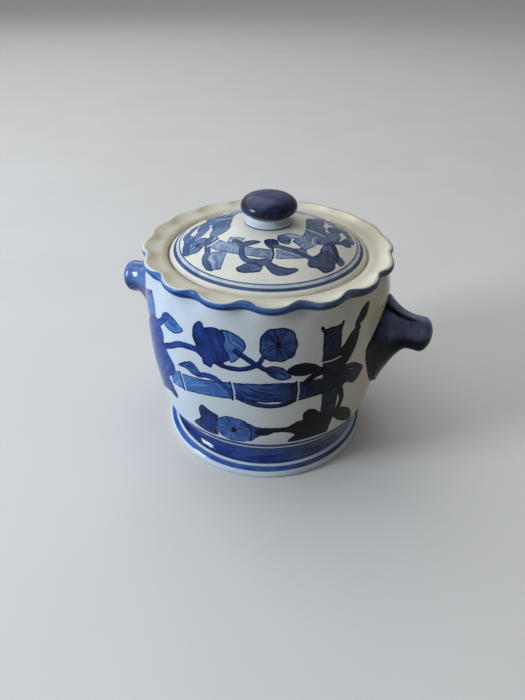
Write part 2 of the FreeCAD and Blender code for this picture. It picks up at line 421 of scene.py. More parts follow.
        def measure(x, y):
            dx, dy = x - middle[0], y - middle[1]
            return outline_distance(x, y, outline), np.hypot(dx, dy), np.arctan2(dy, dx) * 5
        self.lay("wash", outline, tone, measure, radii.mean())
        for k in range(petals):
            ray = spokes[(8 * k + 3) % len(turn)] * radii
            line = np.array([middle + ray * 0.22, middle + ray * 0.6, middle + ray * 0.93])
            self.line("ink", line, np.array([0.4, 0.2, 0.12]), min(tone + 0.14, 1.0), 3.0)
        self.lay("ink", middle + spokes * np.array([heart, heart * 1.5]), 1.0,
                 lambda x, y: (np.hypot(x - middle[0], (y - middle[1]) / 1.5) - heart,
                               x - middle[0], y - middle[1]))

    def band(self, distance, tone, layer="ink"):
        """A painted band, given every vertex's distance to its edge. Its edges are steady."""
        closer = distance < self.edge[layer]
        self.edge[layer][closer] = distance[closer]
        self.tone[layer][closer] = np.broadcast_to(tone, distance.shape)[closer]
        self.steady[distance < 1.5] = 1

    def clear(self, where):
        """Takes every mark off some of the vertices."""
        for edge in self.edge.values():
            edge[where] = FAR

    def sweep(self, along, across, where=slice(None)):
        """Says which way the brush went on bands, for their streaks."""
        self.brush[where, 0] = along[where]
        self.brush[where, 1] = across[where]

    def keep(self, obj):
        """Stores the marks on the piece."""
        for layer in self.edge:
            store(obj, layer + "_edge", self.edge[layer])
        store(obj, "wash_tone", self.tone["wash"])
        store(obj, "ink_tone", self.tone["ink"])
        store(obj, "brush", self.brush)
        store(obj, "steady", self.steady)


def between(value, low, high):
    """Distance to the edge of a band from low to high, negative inside."""
    return np.abs(value - (low + high) / 2) - (high - low) / 2


# ============================================================================
# The wall's painting: bamboo rails, a vine with blooms and dark leaves
# ============================================================================
def paint_bamboo(p):
    p.cane([(27.4, 97.4), (27.9, 80), (29, 60), (29.2, 45), (28.6, 29)], (9.6, 9.6, 9, 9, 8),
           (0.86, 0.89, 0.85, 0.89), nodes=(0.27,))
    p.stroke([(22.6, 98), (23.4, 96.4), (24.6, 95)], 1.8, 0.97)
    p.stroke([(32.6, 98.2), (31.8, 96.4), (31, 95)], 1.6, 0.97)
    # the rail darkens from left to right, partly painted shade
    p.cane([(-48, 58.5), (-39, 59.8), (-30, 62), (-13.5, 65), (0, 65.6), (13.4, 65.6), (24, 65.8),
            (36, 65.6)], (9.5, 10.5, 9.6, 10, 11.5, 11.6, 10, 8.5),
           (0.46, 0.54, 0.57, 0.61, 0.72, 0.78, 0.8, 0.88, 0.92, 0.92), nodes=(0.11, 0.41, 0.73))
    p.blot([(-61, 99.4), (-57.4, 94), (-57, 87), (-62, 82), (-68.6, 80.4), (-75, 88), (-71, 95)],
           0.6, "wash", soft=False)


def paint_upper_sprays(p):
    # dark scalloped leaf with a pale bell flower
    p.blot([(-18.6, 97.4), (-14, 97.2), (-9.6, 94.6), (-7.9, 91), (-9.4, 87.6), (-11.2, 84),
            (-14.2, 81.4), (-15.4, 84), (-17.4, 89.5), (-17, 94)], 0.62, "wash")
    p.blot([(-31.4, 94), (-30.4, 97), (-28.4, 98.8), (-26.6, 98.4), (-25.6, 96.6), (-22.5, 97.8),
            (-18.5, 97), (-16.6, 93), (-17.4, 89.5), (-15.2, 86), (-14.6, 82.6), (-18, 80.2),
            (-21.8, 78.6), (-23.2, 76), (-26.8, 77.2), (-27.4, 80), (-30.2, 82), (-30, 85.6),
            (-31.6, 89)], 0.84)
    p.stroke([(-22.5, 80.4), (-16.5, 78.4), (-10.5, 78.4), (-6, 80), (-3, 82.4), (-1, 86)], 2.9,
             0.84, tip=2.4)
    p.stroke([(-12.2, 87.8), (-7, 84), (-3, 81), (0.5, 78.8), (3, 77.6)], 3.1, 0.86, tip=2.2)
    p.bloom((4.8, 92), (8.6, 8.8), 0.78)
    p.leaf((0.4, 79.8), (10.2, 74.2), 6.8, 0.74, "wash")
    p.stroke([(2.2, 78.6), (7.2, 76)], 0.6, 0.9)
    p.leaf((8.6, 78), (23, 76.8), 7.4, 0.98, bend=0.6)
    p.stroke([(16.8, 70.2), (20, 73.4), (24.4, 75)], 3.6, 1.0)
    p.stroke([(20.5, 77), (26, 74), (31, 70.4), (36, 64)], 3.6, 1.0)
    # bud at the right end of the rail
    p.blot([(33, 72.6), (38.5, 73.8), (43, 71.4), (47.6, 66.6), (46, 62.6), (42.6, 59.4),
            (38.6, 61.6), (34.6, 65)], 0.91)
    p.stroke([(38, 70.6), (41, 68.4)], 0.5, 0.2, "bare")
    # chain of slim leaves
    p.leaf((47.6, 102.4), (38.6, 93.6), 5.4, 0.97, bend=0.6)
    p.stroke([(40.2, 95.2), (41.4, 91.6)], 2.8, 1.0)
    p.leaf((41.2, 93.4), (32, 70.6), 8.6, 0.99, bend=-0.6)
    p.leaf((34, 86), (32.5, 73), 6.0, 1.0)
    # small flower and vine at the left
    p.blot([(-51, 91), (-47, 94.4), (-43, 95), (-39, 92.6), (-36.6, 91), (-39, 88), (-44, 86.4),
            (-49, 87.4)], 0.55, "wash")
    p.blot([(-51.4, 90), (-50, 93.4), (-47, 95.6), (-44.6, 95.2), (-45.4, 92.6), (-47.6, 90.4)],
           0.78)
    p.stroke([(-47.5, 92.4), (-46, 90.6), (-43, 89.6)], 0.6, 0.82)
    p.stroke([(-61, 81), (-54, 86), (-48.6, 91)], 4.2, 0.8, tip=3.4)
    p.stroke([(-51.5, 74), (-45, 78), (-38, 82.6), (-29, 83.6)], 3.1, 0.82, tip=3.6)


def paint_leaf_mass(p):
    p.blot([(-58, 88), (-51, 82.6), (-50.6, 76), (-47.6, 71.6), (-43.8, 66.4), (-44.6, 60.4),
            (-49.6, 56), (-47.6, 51), (-47.2, 46.4), (-52.6, 43.8), (-58.6, 41.2), (-66, 36),
            (-72, 28.6), (-75.6, 19.6), (-82.4, 20.6), (-86, 27), (-92, 31), (-94, 44), (-90, 56),
            (-82, 66), (-72, 76), (-64, 84)], 0.79)
    p.leaf((-52, 50), (-46.6, 43.6), 7, 0.86)
    p.leaf((-80, 28), (-74.5, 18.6), 8, 0.82)
    p.blot([(-98, 24), (-90, 22), (-87, 18), (-92, 15.6), (-99, 18)], 0.5, "wash")


def paint_vine(p):
    p.blot([(-41.4, 69), (-37.4, 72.8), (-33.2, 75.2), (-29.6, 72.8), (-28.2, 69), (-32, 68),
            (-36.6, 69.6)], 0.7, "wash")
    p.stroke([(-37, 70.8), (-32, 71.6)], 0.7, 0.85)
    p.stroke([(-29.6, 69), (-25.4, 70.6), (-21, 70), (-17, 66.6), (-13, 62.8), (-8, 59.6),
              (-2, 57.8), (4, 57.4), (9, 58.6), (13, 61)], 3.3, (0.76, 0.8, 0.86, 0.93), tip=2.8)
    p.stroke([(33, 62), (35.6, 55), (35.6, 48.6), (33.6, 44)], 3.4, 1.0)
    p.leaf((31.6, 46.4), (49.4, 27.4), 8.6, 1.0, bend=0.8)


def paint_lower_sprays(p):
    p.blot([(-31.6, 46.6), (-29.4, 50), (-26.6, 48.4), (-24, 47), (-21.4, 45.6), (-22.6, 41),
            (-23.2, 36), (-23, 30), (-28, 28.6), (-33, 29.4), (-37.2, 32), (-35, 35.4), (-32, 39),
            (-32, 43)], 0.86)
    p.blot([(-9, 44), (-4, 42.4), (-0.8, 41.6), (-0.6, 37.6), (-4, 33.4), (-8, 30)], 0.7, "wash")
    p.bloom((-14.6, 37.6), (9.8, 10.0), 0.66, petals=7, heart=1.6)
    p.stroke([(-8.6, 44.6), (-6.4, 38.6), (-6.6, 31)], 0.9, 0.86)
    p.leaf((-4.6, 37.6), (5, 40), 6.2, 0.97)
    p.blot([(2, 41.6), (9.6, 41.8), (14, 45), (17, 46), (16.6, 50), (19.2, 52.6), (22.4, 51.6),
            (25.4, 48), (28, 45), (32.4, 43), (33, 38), (30.8, 33), (31, 29.6), (21, 29),
            (11.6, 29), (11.6, 31.6), (14, 35), (9, 37.8), (3, 38.2)], 1.0)


def paint_wall(painting):
    """The front between the lugs, and the same layout again on the back. Tones run from lighter on
    the left of the front to darker on the right, partly painted shade.
    """
    for turn in (0, 180):
        painting.place((turn, 0))
        paint_bamboo(painting)
        paint_upper_sprays(painting)
        paint_leaf_mass(painting)
        paint_vine(painting)
        paint_lower_sprays(painting)


# ============================================================================
# The lid's painting
# ============================================================================
def paint_lid_rails(p):
    p.cane([(-22.5, -19.5), (-19.5, -24), (-13, -26.6), (-5, -28), (2, -28), (9, -27), (15, -25),
            (20, -22), (25, -18)], (6, 6, 6, 5.6, 5.6, 5.6, 5.6, 6, 6),
           (0.37, 0.43, 0.43, 0.46), nodes=(0.1, 0.72))
    p.cane([(20.5, -16), (23.6, -8), (24, 0), (22.8, 10)], (8, 8.6, 8.6, 8), 0.46, nodes=(0.62,))
    p.cane([(-14, -30), (-12.6, -40.4)], (8.4, 7.4), 0.44)
    p.blot([(-12.4, -19.6), (-4.6, -19.8), (-6, -24.4), (-12.6, -24)], 0.36, "wash", soft=False)
    p.stroke([(-16, -31.2), (-17.2, -34.8)], 0.5, 0.2, "bare")
    p.stroke([(-17.2, -34.8), (-13, -36.4)], 0.5, 0.2, "bare")
    p.stroke([(25.6, -3.6), (24.8, -8.4), (28.4, -11.4)], 0.6, 0.2, "bare")
    p.stroke([(19.6, -17), (22.4, -14)], 0.6, 0.2, "bare")
    p.stroke([(26.8, -13.6), (29, -17)], 0.6, 0.2, "bare")


def paint_lid_leaves(p):
    p.blot([(-20.4, -29), (-21.2, -33), (-19, -37.6), (-15, -40.8), (-12.2, -40.8), (-14.6, -37.4),
            (-17.6, -34.6), (-18, -30.4)], 0.65)
    p.blot([(-35.4, -19), (-33.2, -15.4), (-30.4, -18), (-31.6, -22.6), (-31, -27), (-29, -31),
            (-32.4, -30.4), (-35, -26.4), (-36.6, -22.6)], 0.69)
    p.bloom((-27.4, -24.6), (4.0, 6.2), 0.55, petals=7, heart=1.0)
    p.blot([(-30, 8), (-21, 4), (-18, -4), (-16.8, -11), (-20, -14), (-25, -12.4), (-28, -6),
            (-33, -12), (-35.6, -6), (-33, 2)], 0.63)
    p.leaf((-41, -8), (-37, -18.6), 4.4, 0.63)
    p.stroke([(-23.6, -12), (-22.4, -19), (-22, -25), (-19.6, -30)], 3.0, 0.68)
    p.stroke([(-9, -22.4), (-5, -24.2), (-3.6, -27), (-2, -31), (1, -33.2), (5, -33.2),
              (10.6, -31.4)], 2.9, 0.69)
    p.leaf((-5.4, -24.8), (3.6, -20.6), 3.8, 0.70)
    p.blot([(4.6, -19), (9, -16.6), (12.2, -19.8), (9.8, -23.6), (6.6, -22.4)], 0.84)
    p.blot([(9.4, -13.4), (12.4, -10.6), (15.4, -13), (16.4, -17), (13, -18.2), (10.4, -16.6)], 0.6,
           "wash")
    p.stroke([(10.6, -16.6), (12.6, -14.4), (15.6, -13.4)], 0.8, 0.65)
    p.leaf((12.4, -11.8), (20, -8.4), 4.6, 0.34, "wash")
    p.blot([(-1.8, -38.6), (0.8, -35.6), (4.6, -33.8), (9, -34.6), (9.4, -37.4), (5, -39.2),
            (1, -40.2)], 0.62, "wash")
    p.stroke([(-0.6, -38.4), (3, -37)], 0.5, 0.63)
    p.blot([(8.4, -31.6), (12.6, -31.4), (18, -31.6), (24.8, -29.2), (23.6, -32.4), (20, -35.6),
            (16, -37), (12, -35.4)], 0.72)
    p.leaf((5.6, -34.6), (12.4, -30), 4.2, 0.69)
    p.stroke([(9.6, -21.6), (17, -20.4), (24, -20.4), (30, -20)], 2.9, 0.69)
    p.blot([(27, -21.4), (28, -25.6), (32, -24.4), (36, -24.2), (39, -18.4), (37.2, -13),
            (34, -9.6), (31, -12), (29.2, -17)], 0.72)
    p.blot([(30, -12), (31, -5.4), (34, -3.4), (37, -8), (39, -13), (36.4, -17), (32, -15)], 0.6,
           "wash")
    p.blot([(37.6, -8.8), (42, -10.8), (40.6, -15.4), (38, -13)], 0.55, "wash")
    p.stroke([(28, -7), (31, -4), (33.4, -0.8), (36.4, 2.6), (39, 3.4)], 3.1, 0.71)
    p.stroke([(33, -2.4), (36, -7), (38, -12)], 3.2, 0.71)
    p.blot([(36.6, 8.6), (38.2, 13), (40.2, 9), (41.2, 4.6), (39.2, 1.6), (36.4, 3.6)], 0.69)
    p.leaf((18.6, 9), (22.6, 19), 8.6, 0.63)
    p.leaf((29.6, 8), (31.6, 20), 6.4, 0.63)
    p.leaf((33.6, 22), (37.8, 13.6), 5.0, 0.56, "wash")


def paint_lid(painting):
    """The front of the lid, and the same layout again on the back, lighter there as a painted
    sheen.
    """
    for turn, sheen_scale in ((0, 1.0), (180, 0.88)):
        painting.place(turn=turn, sheen_scale=sheen_scale)
        paint_lid_rails(painting)
        paint_lid_leaves(painting)


# ============================================================================
# Shader helpers
# ============================================================================
class Sketch:
    """Adds nodes to a tree and links them."""

    def __init__(self, tree):
        self.tree = tree
        self.column = 0

    def node(self, kind, feeds=None, **settings):
        """Adds a node. feeds gives values or links for its inputs, by name or number."""
        node = self.tree.nodes.new(kind)
        node.location = (self.column * 60, -(self.column % 7) * 120)
        self.column += 1
        for key, value in settings.items():
            setattr(node, key, value)
        for key, value in (feeds or {}).items():
            self.feed(node.inputs[key], value)
        return node

    def feed(self, socket, value):
        if isinstance(value, bpy.types.NodeSocket):
            self.tree.links.new(value, socket)
        else:
            socket.default_value = value

    def maths(self, operation, *values):
        return self.node("ShaderNodeMath", dict(enumerate(values)), operation=operation).outputs[0]

    def plus(self, first, second):
        return self.maths("ADD", first, second)

    def minus(self, first, second):
        return self.maths("SUBTRACT", first, second)

    def times(self, first, second):
        return self.maths("MULTIPLY", first, second)

    def stretched(self, vector, by):
        """A vector with each of its parts multiplied."""
        return self.node("ShaderNodeVectorMath", {0: vector, 1: by},
                         operation="MULTIPLY").outputs[0]

    def blend(self, share, first, second, kind="MIX"):
        return self.node("ShaderNodeMix", {0: share, 6: first, 7: second}, data_type="RGBA",
                         blend_type=kind).outputs[2]

    def step(self, value, start, end, low=0.0, high=1.0):
        """A smooth change from low, at start, to high, at end."""
        if end < start:
            start, end, low, high = end, start, high, low
        return self.node("ShaderNodeMapRange", {
            "Value": value, "From Min": start, "From Max": end, "To Min": low, "To Max": high,
        }, interpolation_type="SMOOTHSTEP").outputs["Result"]

    def noise(self, vector, scale, detail=2.0, roughness=0.5):
        return self.node("ShaderNodeTexNoise", {
            "Vector": vector, "Scale": scale, "Detail": detail, "Roughness": roughness,
        }).outputs["Fac"]

    def millimetres(self):
        """Object coordinates, in millimetres."""
        where = self.node("ShaderNodeTexCoord").outputs["Object"]
        return self.node("ShaderNodeVectorMath", {0: where, "Scale": 1 / MM},
                         operation="SCALE").outputs[0]

    def attribute(self, name, output="Fac"):
        return self.node("ShaderNodeAttribute", attribute_name=name).outputs[output]


SOCKETS = {"value": "NodeSocketFloat", "colour": "NodeSocketColor", "vector": "NodeSocketVector"}


def node_group(name, inputs, outputs, build):
    """A shader node group, built once. inputs are (name, kind, default)."""
    if name in bpy.data.node_groups:
        return bpy.data.node_groups[name]
    group = bpy.data.node_groups.new(name, "ShaderNodeTree")
    for label, kind, default in inputs:
        socket = group.interface.new_socket(name=label, in_out="INPUT", socket_type=SOCKETS[kind])
        if default is not None:
            socket.default_value = default
    for label, kind in outputs:
        group.interface.new_socket(name=label, in_out="OUTPUT", socket_type=SOCKETS[kind])
    sketch = Sketch(group)
    source = sketch.node("NodeGroupInput")
    results = build(sketch, source.outputs)
    sink = sketch.node("NodeGroupOutput")
    for label, value in results.items():
        sketch.feed(sink.inputs[label], value)
    return group


def place_group(sketch, group, **values):
    """Puts a group in a material and feeds its inputs. Underscores stand for spaces."""
    node = sketch.node("ShaderNodeGroup")
    node.node_tree = group
    for key, value in values.items():
        sketch.feed(node.inputs[key.replace("_", " ").capitalize()], value)
    return node.outputs


def rgba(colour):
    return (*colour, 1.0)


def grey(value):
    return (value, value, value, 1.0)


# ---- Pigments, as linear colours ----
IRON = (0.12, 0.07, 0.035, 1.0)
COBALT = ((0.0, (1, 1, 1)), (0.3, (0.38, 0.57, 0.88)), (0.5, (0.10, 0.30, 0.73)),
          (0.65, (0.036, 0.17, 0.52)), (0.8, (0.007, 0.056, 0.33)), (0.9, (0.006, 0.018, 0.09)),
          (1.0, (0.002, 0.003, 0.010)))       # thickness, and what it lets through
SHEEN_GREY = (0.93, 0.97, 1.28)    # tint of cobalt greyed by painted sheen and shade


# ---- Glaze ground: clear glaze over the clay, with clouds and a few iron specks ----
def build_ground(s, i):
    where = s.millimetres()
    cloud = s.noise(where, 0.045, 3)
    fine = s.noise(where, 0.6, 2)
    colour = s.blend(i["Warmth"], i["Cool glaze"], i["Warm glaze"])
    shade = s.step(cloud, 0.32, 0.7, 0.93, 1.03)
    shade = s.times(shade, s.step(fine, 0.3, 0.7, 0.985, 1.01))
    colour = s.blend(1.0, colour, shade, "MULTIPLY")
    # amber pooling; on the wall's right and round the lid it is painted warm shade
    amber_and_shade = s.times(i["Pooling"], s.step(s.noise(where, 0.16, 3), 0.3, 0.68, 0.75, 1.0))
    colour = s.blend(amber_and_shade, colour, i["Pooled glaze"])
    spots = s.node("ShaderNodeTexVoronoi", {"Vector": where, "Scale": 0.13}, feature="F1")
    rare = s.step(s.noise(where, 0.11, 1), 0.52, 0.58)
    speck = s.times(s.step(spots.outputs["Distance"], 0.06, 0.03), rare)
    return {"Colour": s.blend(s.times(speck, 0.55), colour, IRON)}


def ground_group():
    return node_group("Glaze Ground", [
        ("Cool glaze", "colour", grey(0.7)), ("Warm glaze", "colour", grey(0.7)),
        ("Pooled glaze", "colour", grey(0.4)), ("Warmth", "value", 0.0), ("Pooling", "value", 0.0),
    ], [("Colour", "colour")], build_ground)


# ---- Cobalt: how a thinner or thicker layer of the pigment colours what lies under it, and how
# much painted sheen and shade grey its blue ----
def build_cobalt(s, i):
    ramp = s.node("ShaderNodeValToRGB", {0: i["Thickness"]})
    elements = ramp.color_ramp.elements
    for element, stop in zip(elements, (COBALT[0], COBALT[-1])):
        element.position, element.color = stop[0], rgba(stop[1])
    for position, colour in COBALT[1:-1]:
        elements.new(position).color = rgba(colour)
    blue = s.blend(1.0, i["Ground"], ramp.outputs["Color"], "MULTIPLY")
    light = s.node("ShaderNodeRGBToBW", {0: blue}).outputs[0]
    slate = s.blend(1.0, light, rgba(SHEEN_GREY), "MULTIPLY")
    # painted sheen and shade: thick cobalt turns grey by this share
    share = s.times(i["Slate"], s.step(i["Thickness"], 0.1, 0.4))
    return {"Colour": s.blend(share, blue, slate)}


def cobalt_group():
    return node_group("Cobalt", [("Ground", "colour", grey(0.7)), ("Thickness", "value", 0.5),
                                 ("Slate", "value", 0.0)], [("Colour", "colour")], build_cobalt)


# ---- Brushwork: washes, dark outlines, ink and the bare lines left across canes ----
def build_brushwork(s, i):
    where = s.millimetres()
    loose = s.minus(1.1, i["Steady"])
    wobble = s.times(s.minus(s.noise(where, 0.35, 3), 0.5), loose)
    stretch = s.stretched(i["Brush"], (0.07, 0.8, 3.7))
    streak = s.noise(stretch, 1.0, 3, 0.6)
    patch = s.noise(where, 0.14, 2)

    wash_edge = s.plus(i["Wash edge"], wobble)
    wash = s.step(wash_edge, 0.12, -0.2)
    flow = s.plus(s.step(streak, 0.3, 0.7, -0.13, 0.13), s.step(patch, 0.3, 0.7, -0.06, 0.06))
    flow = s.times(flow, s.step(i["Wash tone"], 0.65, 0.95, 1.0, 0.35))
    wash_depth = s.plus(i["Wash tone"], flow)
    rim = s.maths("ABSOLUTE", s.plus(wash_edge, 0.22))
    outline = s.times(s.step(rim, 0.5, 0.2), i["Outline"])
    outline = s.times(outline, s.minus(1.0, i["Steady"]))
    depth = s.times(wash, wash_depth)
    depth = s.plus(depth, s.times(outline, s.step(wash_edge, 0.7, 0.2)))
    depth = s.maths("MINIMUM", depth, 0.97)

    ink_edge = s.plus(i["Ink edge"], s.times(wobble, 0.8))
    ink = s.step(ink_edge, 0.14, -0.2)
    pool = s.step(s.maths("ABSOLUTE", s.plus(ink_edge, 0.5)), 0.7, 0.1, 0.0, 0.05)
    ink_flow = s.plus(s.step(streak, 0.28, 0.72, -0.07, 0.05),
                      s.step(patch, 0.3, 0.7, -0.04, 0.03))
    ink_flow = s.times(ink_flow, s.step(i["Ink tone"], 0.85, 1.0, 1.0, 0.35))
    ink_depth = s.plus(s.plus(i["Ink tone"], ink_flow), pool)
    ink_depth = s.times(ink, ink_depth)
    depth = s.maths("MAXIMUM", depth, ink_depth)

    bare = s.step(s.plus(i["Bare edge"], s.times(wobble, 0.3)), 0.1, -0.15)
    depth = s.times(depth, s.minus(1.0, s.times(bare, 0.85)))
    return {"Thickness": depth}


def brushwork_group():
    return node_group("Brushwork", [
        ("Wash edge", "value", FAR), ("Wash tone", "value", 0.0), ("Ink edge", "value", FAR),
        ("Ink tone", "value", 0.0), ("Bare edge", "value", FAR), ("Brush", "vector", None),
        ("Steady", "value", 0.0), ("Outline", "value", OUTLINE),
    ], [("Thickness", "value")], build_brushwork)


# ---- Glaze skin: the slow waves and fine pits of a poured glaze ----
def build_skin(s, i):
    where = s.millimetres()
    waves = s.noise(where, 0.11, 2)
    peel = s.noise(where, 0.9, 2)
    height = s.plus(s.times(waves, i["Waves"]), s.times(peel, i["Peel"]))
    dull = s.step(s.noise(where, 0.2, 2), 0.35, 0.75, 0.0, 1.0)
    rough = s.plus(i["Roughness"], s.times(dull, 0.05))
    return {"Height": height, "Roughness": rough}


def skin_group():
    return node_group("Glaze Skin", [
        ("Waves", "value", 0.2), ("Peel", "value", 0.02), ("Roughness", "value", 0.2),
    ], [("Height", "value"), ("Roughness", "value")], build_skin)


# ============================================================================
# Materials
# ============================================================================
GLAZE_IOR = 1.48
CLAY_GRAIN = (0.62, 0.52, 0.38)
CLAY_STAIN = (0.42, 0.30, 0.19)


def glazed(name, waves=0.2, peel=0.01, roughness=0.07, gloss=0.10):
    """A glazed material, the sketch that draws in it and its shader."""
    material = bpy.data.materials.new(name)
    material.use_nodes = True
    tree = material.node_tree
    tree.nodes.clear()
    s = Sketch(tree)
    skin = place_group(s, skin_group(), waves=waves, peel=peel, roughness=roughness)
    bump = s.node("ShaderNodeBump", {"Strength": 1.0, "Distance": MM, "Height": skin["Height"]})
    shader = s.node("ShaderNodeBsdfPrincipled", {
        "IOR": GLAZE_IOR, "Specular IOR Level": gloss, "Normal": bump.outputs[0],
        "Roughness": skin["Roughness"]})
    s.node("ShaderNodeOutputMaterial", {0: shader.outputs[0]})
    return material, s, shader


def colours():
    return bpy.context.scene.herb_pot_colours


def ground_colour(s, warmth, pooling):
    """Glaze ground in this pot's own colours."""
    return place_group(s, ground_group(), cool_glaze=rgba(colours().white_glaze),
                       warm_glaze=rgba(colours().cream_glaze),
                       pooled_glaze=rgba(colours().pooled_glaze),
                       warmth=warmth, pooling=pooling)["Colour"]


def painted_glaze(name, outline=OUTLINE, **skin):
    """Clear glaze over brushwork, read from the marks stored on the mesh."""
    material, s, shader = glazed(name, **skin)
    ground = ground_colour(s, s.attribute("warmth"), s.attribute("pooling"))
    depth = place_group(s, brushwork_group(), wash_edge=s.attribute("wash_edge"),
                        wash_tone=s.attribute("wash_tone"), ink_edge=s.attribute("ink_edge"),
                        ink_tone=s.attribute("ink_tone"), bare_edge=s.attribute("bare_edge"),
                        brush=s.attribute("brush", "Vector"), steady=s.attribute("steady"),
                        outline=outline)["Thickness"]
    # the cobalt is greyed by painted sheen and shade stored on the mesh
    painted = place_group(s, cobalt_group(), ground=ground, thickness=depth,
                          slate=s.attribute("slate"))["Colour"]
    clay = s.blend(s.attribute("clay"), painted, rgba(colours().bare_clay))
    s.feed(shader.inputs["Base Color"], clay)
    rough = shader.inputs["Roughness"].links[0].from_socket
    dull = s.maths("MAXIMUM", rough, s.times(s.attribute("clay"), 0.85))
    s.feed(shader.inputs["Roughness"], dull)
    return material


def solid_cobalt(name, depth, slate, spread=0.06, thinning=0.4, roughness=0.11, gloss=0.42):
    """Cobalt brushed all over, thinner in streaks, and lightened or darkened by painted sheen,
    highlight and shadow stored on the mesh.
    """
    material, s, shader = glazed(name, waves=0.26, peel=0.012, roughness=roughness, gloss=gloss)
    where = s.millimetres()
    streaks = s.noise(s.stretched(where, (0.35, 0.35, 0.07)), 1.0, 3, 0.6)
    patch = s.noise(where, 0.1, 3)
    flow = s.plus(s.step(streaks, 0.3, 0.7, -spread, 0.05),
                  s.step(patch, 0.3, 0.7, -spread, 0.05))
    # painted sheen, highlight and shadow read from the mesh
    thin = s.times(s.attribute("thin"), -thinning)
    thickness = s.plus(s.plus(depth, flow), thin)
    ground = ground_colour(s, 0.0, 0.0)
    painted = place_group(s, cobalt_group(), ground=ground, thickness=thickness, slate=slate)
    s.feed(shader.inputs["Base Color"], painted["Colour"])
    return material


def plain_glaze(name, warmth):
    """Clear glaze with no brushwork."""
    material, s, shader = glazed(name)
    s.feed(shader.inputs["Base Color"], ground_colour(s, warmth, 0.12))
    return material


def bare_clay(name):
    """Unglazed fired clay, with a fine grain."""
    material, s, shader = glazed(name, waves=0.0, peel=0.06, roughness=0.72)
    where = s.millimetres()
    grain = s.noise(where, 2.2, 4)
    stain = s.noise(where, 0.12, 3)
    colour = s.blend(s.step(grain, 0.35, 0.7, 0.0, 0.5), rgba(colours().bare_clay),
                     rgba(CLAY_GRAIN))
    s.feed(shader.inputs["Base Color"],
           s.blend(s.step(stain, 0.5, 0.75, 0.0, 0.35), colour, rgba(CLAY_STAIN)))
    return material


def material(name, make, **settings):
    """A material by name, made the first time it is asked for."""
    return bpy.data.materials.get(name) or make(name, **settings)


def store_glaze(obj, slate, warmth, pooling=0.0, clay=0.0):
    """Stores shares from 0 to 1 at each vertex: painted sheen and shade, warmth, amber pooling and
    painted shade, and bare clay.
    """
    shares = {"slate": slate, "warmth": warmth, "pooling": pooling, "clay": clay}
    for name, share in shares.items():
        store(obj, name, np.broadcast_to(share, len(obj.data.vertices)))


def dress(obj, made, body, node):
    """Gives a piece its material and its body, and hides the CAD node that it stands for."""
    obj.data.materials.append(made)
    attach(obj, body)
    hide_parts(node)


# ============================================================================
# Profiles of the wall
# ============================================================================
WALL = 5.0
FLOOR = 5.5
NECK_INSET = 13.8             # from the belly's widest radius to the neck
BELLY_SHAPE = ((7.3, 21.6), (3.0, 34.0), (0.2, 60.0))     # inset from that radius, height
SHOULDER_INSET = 0.9
HEEL_BEND = 22.0              # height of the wall below which the inside is rounder
HEEL_LINE = (8.3, 11.0)       # the painted line above the foot, from the foot's top
HEEL_BAND = (-2.0, 6.0)
LIT_SIDE = math.radians(-60)    # turn from -Y to the lit side, least greyed by painted sheen and shade


def belly_curve(inset, start):
    """The belly's side profile, moved in by inset, from a start point on it."""
    points = [start]
    points += [(BELLY_RADIUS - back - inset, height) for back, height in BELLY_SHAPE]
    points.append((BELLY_RADIUS - SHOULDER_INSET - inset, COLLAR_BOTTOM))
    return points


def wall_radius(height):
    """Outer radius of the belly at a height."""
    rows = spline(belly_curve(0, (BELLY_RADIUS - NECK_INSET, FOOT_TOP)), 1.0)
    return np.interp(height, rows[:, 1], rows[:, 0])


def around(angles):
    """Distance round the wall from the middle of the painted front."""
    return (np.degrees(angles) - FRONT_TURN) * MM_PER_DEGREE


def sheen_shade_round(angles):
    """Painted sheen and shade on the cobalt: least on the lit left, most beyond the right lug."""
    return (0.43 - 0.41 * np.cos(angles - LIT_SIDE)) ** 1.15


def painted_sheen_shade(angles):
    """Painted sheen and shade on the brushwork, growing quickly just right of the painted front."""
    turn = np.clip(0.25 - 2.5 * np.cos(angles - LIT_SIDE), 0, 1)
    return np.minimum(sheen_shade_round(angles) + 0.2 * turn ** 2 * (3 - 2 * turn), 0.95)


def warm_shade_round(angles):
    """Painted warm shade on the wall's glaze, growing with the painted shade on the cobalt."""
    return np.clip(1.5 * sheen_shade_round(angles), 0, 1)


def wall_painting(obj, angles):
    co = positions(obj)
    return Painting(around(angles), co[:, 2], (MM_PER_DEGREE, 1.0), 360 * MM_PER_DEGREE), co


# ============================================================================
# Pieces
# ============================================================================
def make_belly():
    shape = bpy.context.scene.herb_pot_shape
    grain = shape.brush_grain / MM
    neck = BELLY_RADIUS - NECK_INSET
    outside = spline(belly_curve(0, (neck, FOOT_TOP)), grain)
    floor_top = FOOT_TOP + FLOOR
    corner, *wall = belly_curve(WALL, (neck - WALL, floor_top))
    wall = [(r, z + WALL / 2 if z < HEEL_BEND else z) for r, z in wall]
    inside = spline([corner, *wall], 3.5)[::-1]
    profile = runs(straight((0, FOOT_TOP), outside[0], 8), outside,
                   straight(outside[-1], inside[0], 3), inside,
                   straight(inside[-1], (0, floor_top), 8))
    creases = [nearest_row(profile, p) for p in (outside[0], outside[-1], inside[0])]
    obj, angles, _ = turned("belly", profile, shape.turned_segments, creases=creases)
    painting, co = wall_painting(obj, angles)
    radius = np.hypot(co[:, 0], co[:, 1])
    paint_wall(painting)
    for (low, high), tone in ((HEEL_LINE, 0.76), (HEEL_BAND, 0.86)):
        painting.band(0.5 * between(co[:, 2] - FOOT_TOP, low, high), tone)
    within = radius < wall_radius(co[:, 2]) - 1.0
    painting.clear(within)
    painting.keep(obj)
    # painted sheen and shade grey the cobalt, and painted warm shade darkens the wall towards the
    # right
    store_glaze(obj, painted_sheen_shade(angles), np.where(within, 0.8, 0.05),
                np.where(within, 0.25, warm_shade_round(angles)))
    dress(obj, material("Painted wall glaze", painted_glaze), "pot", "pot_body")


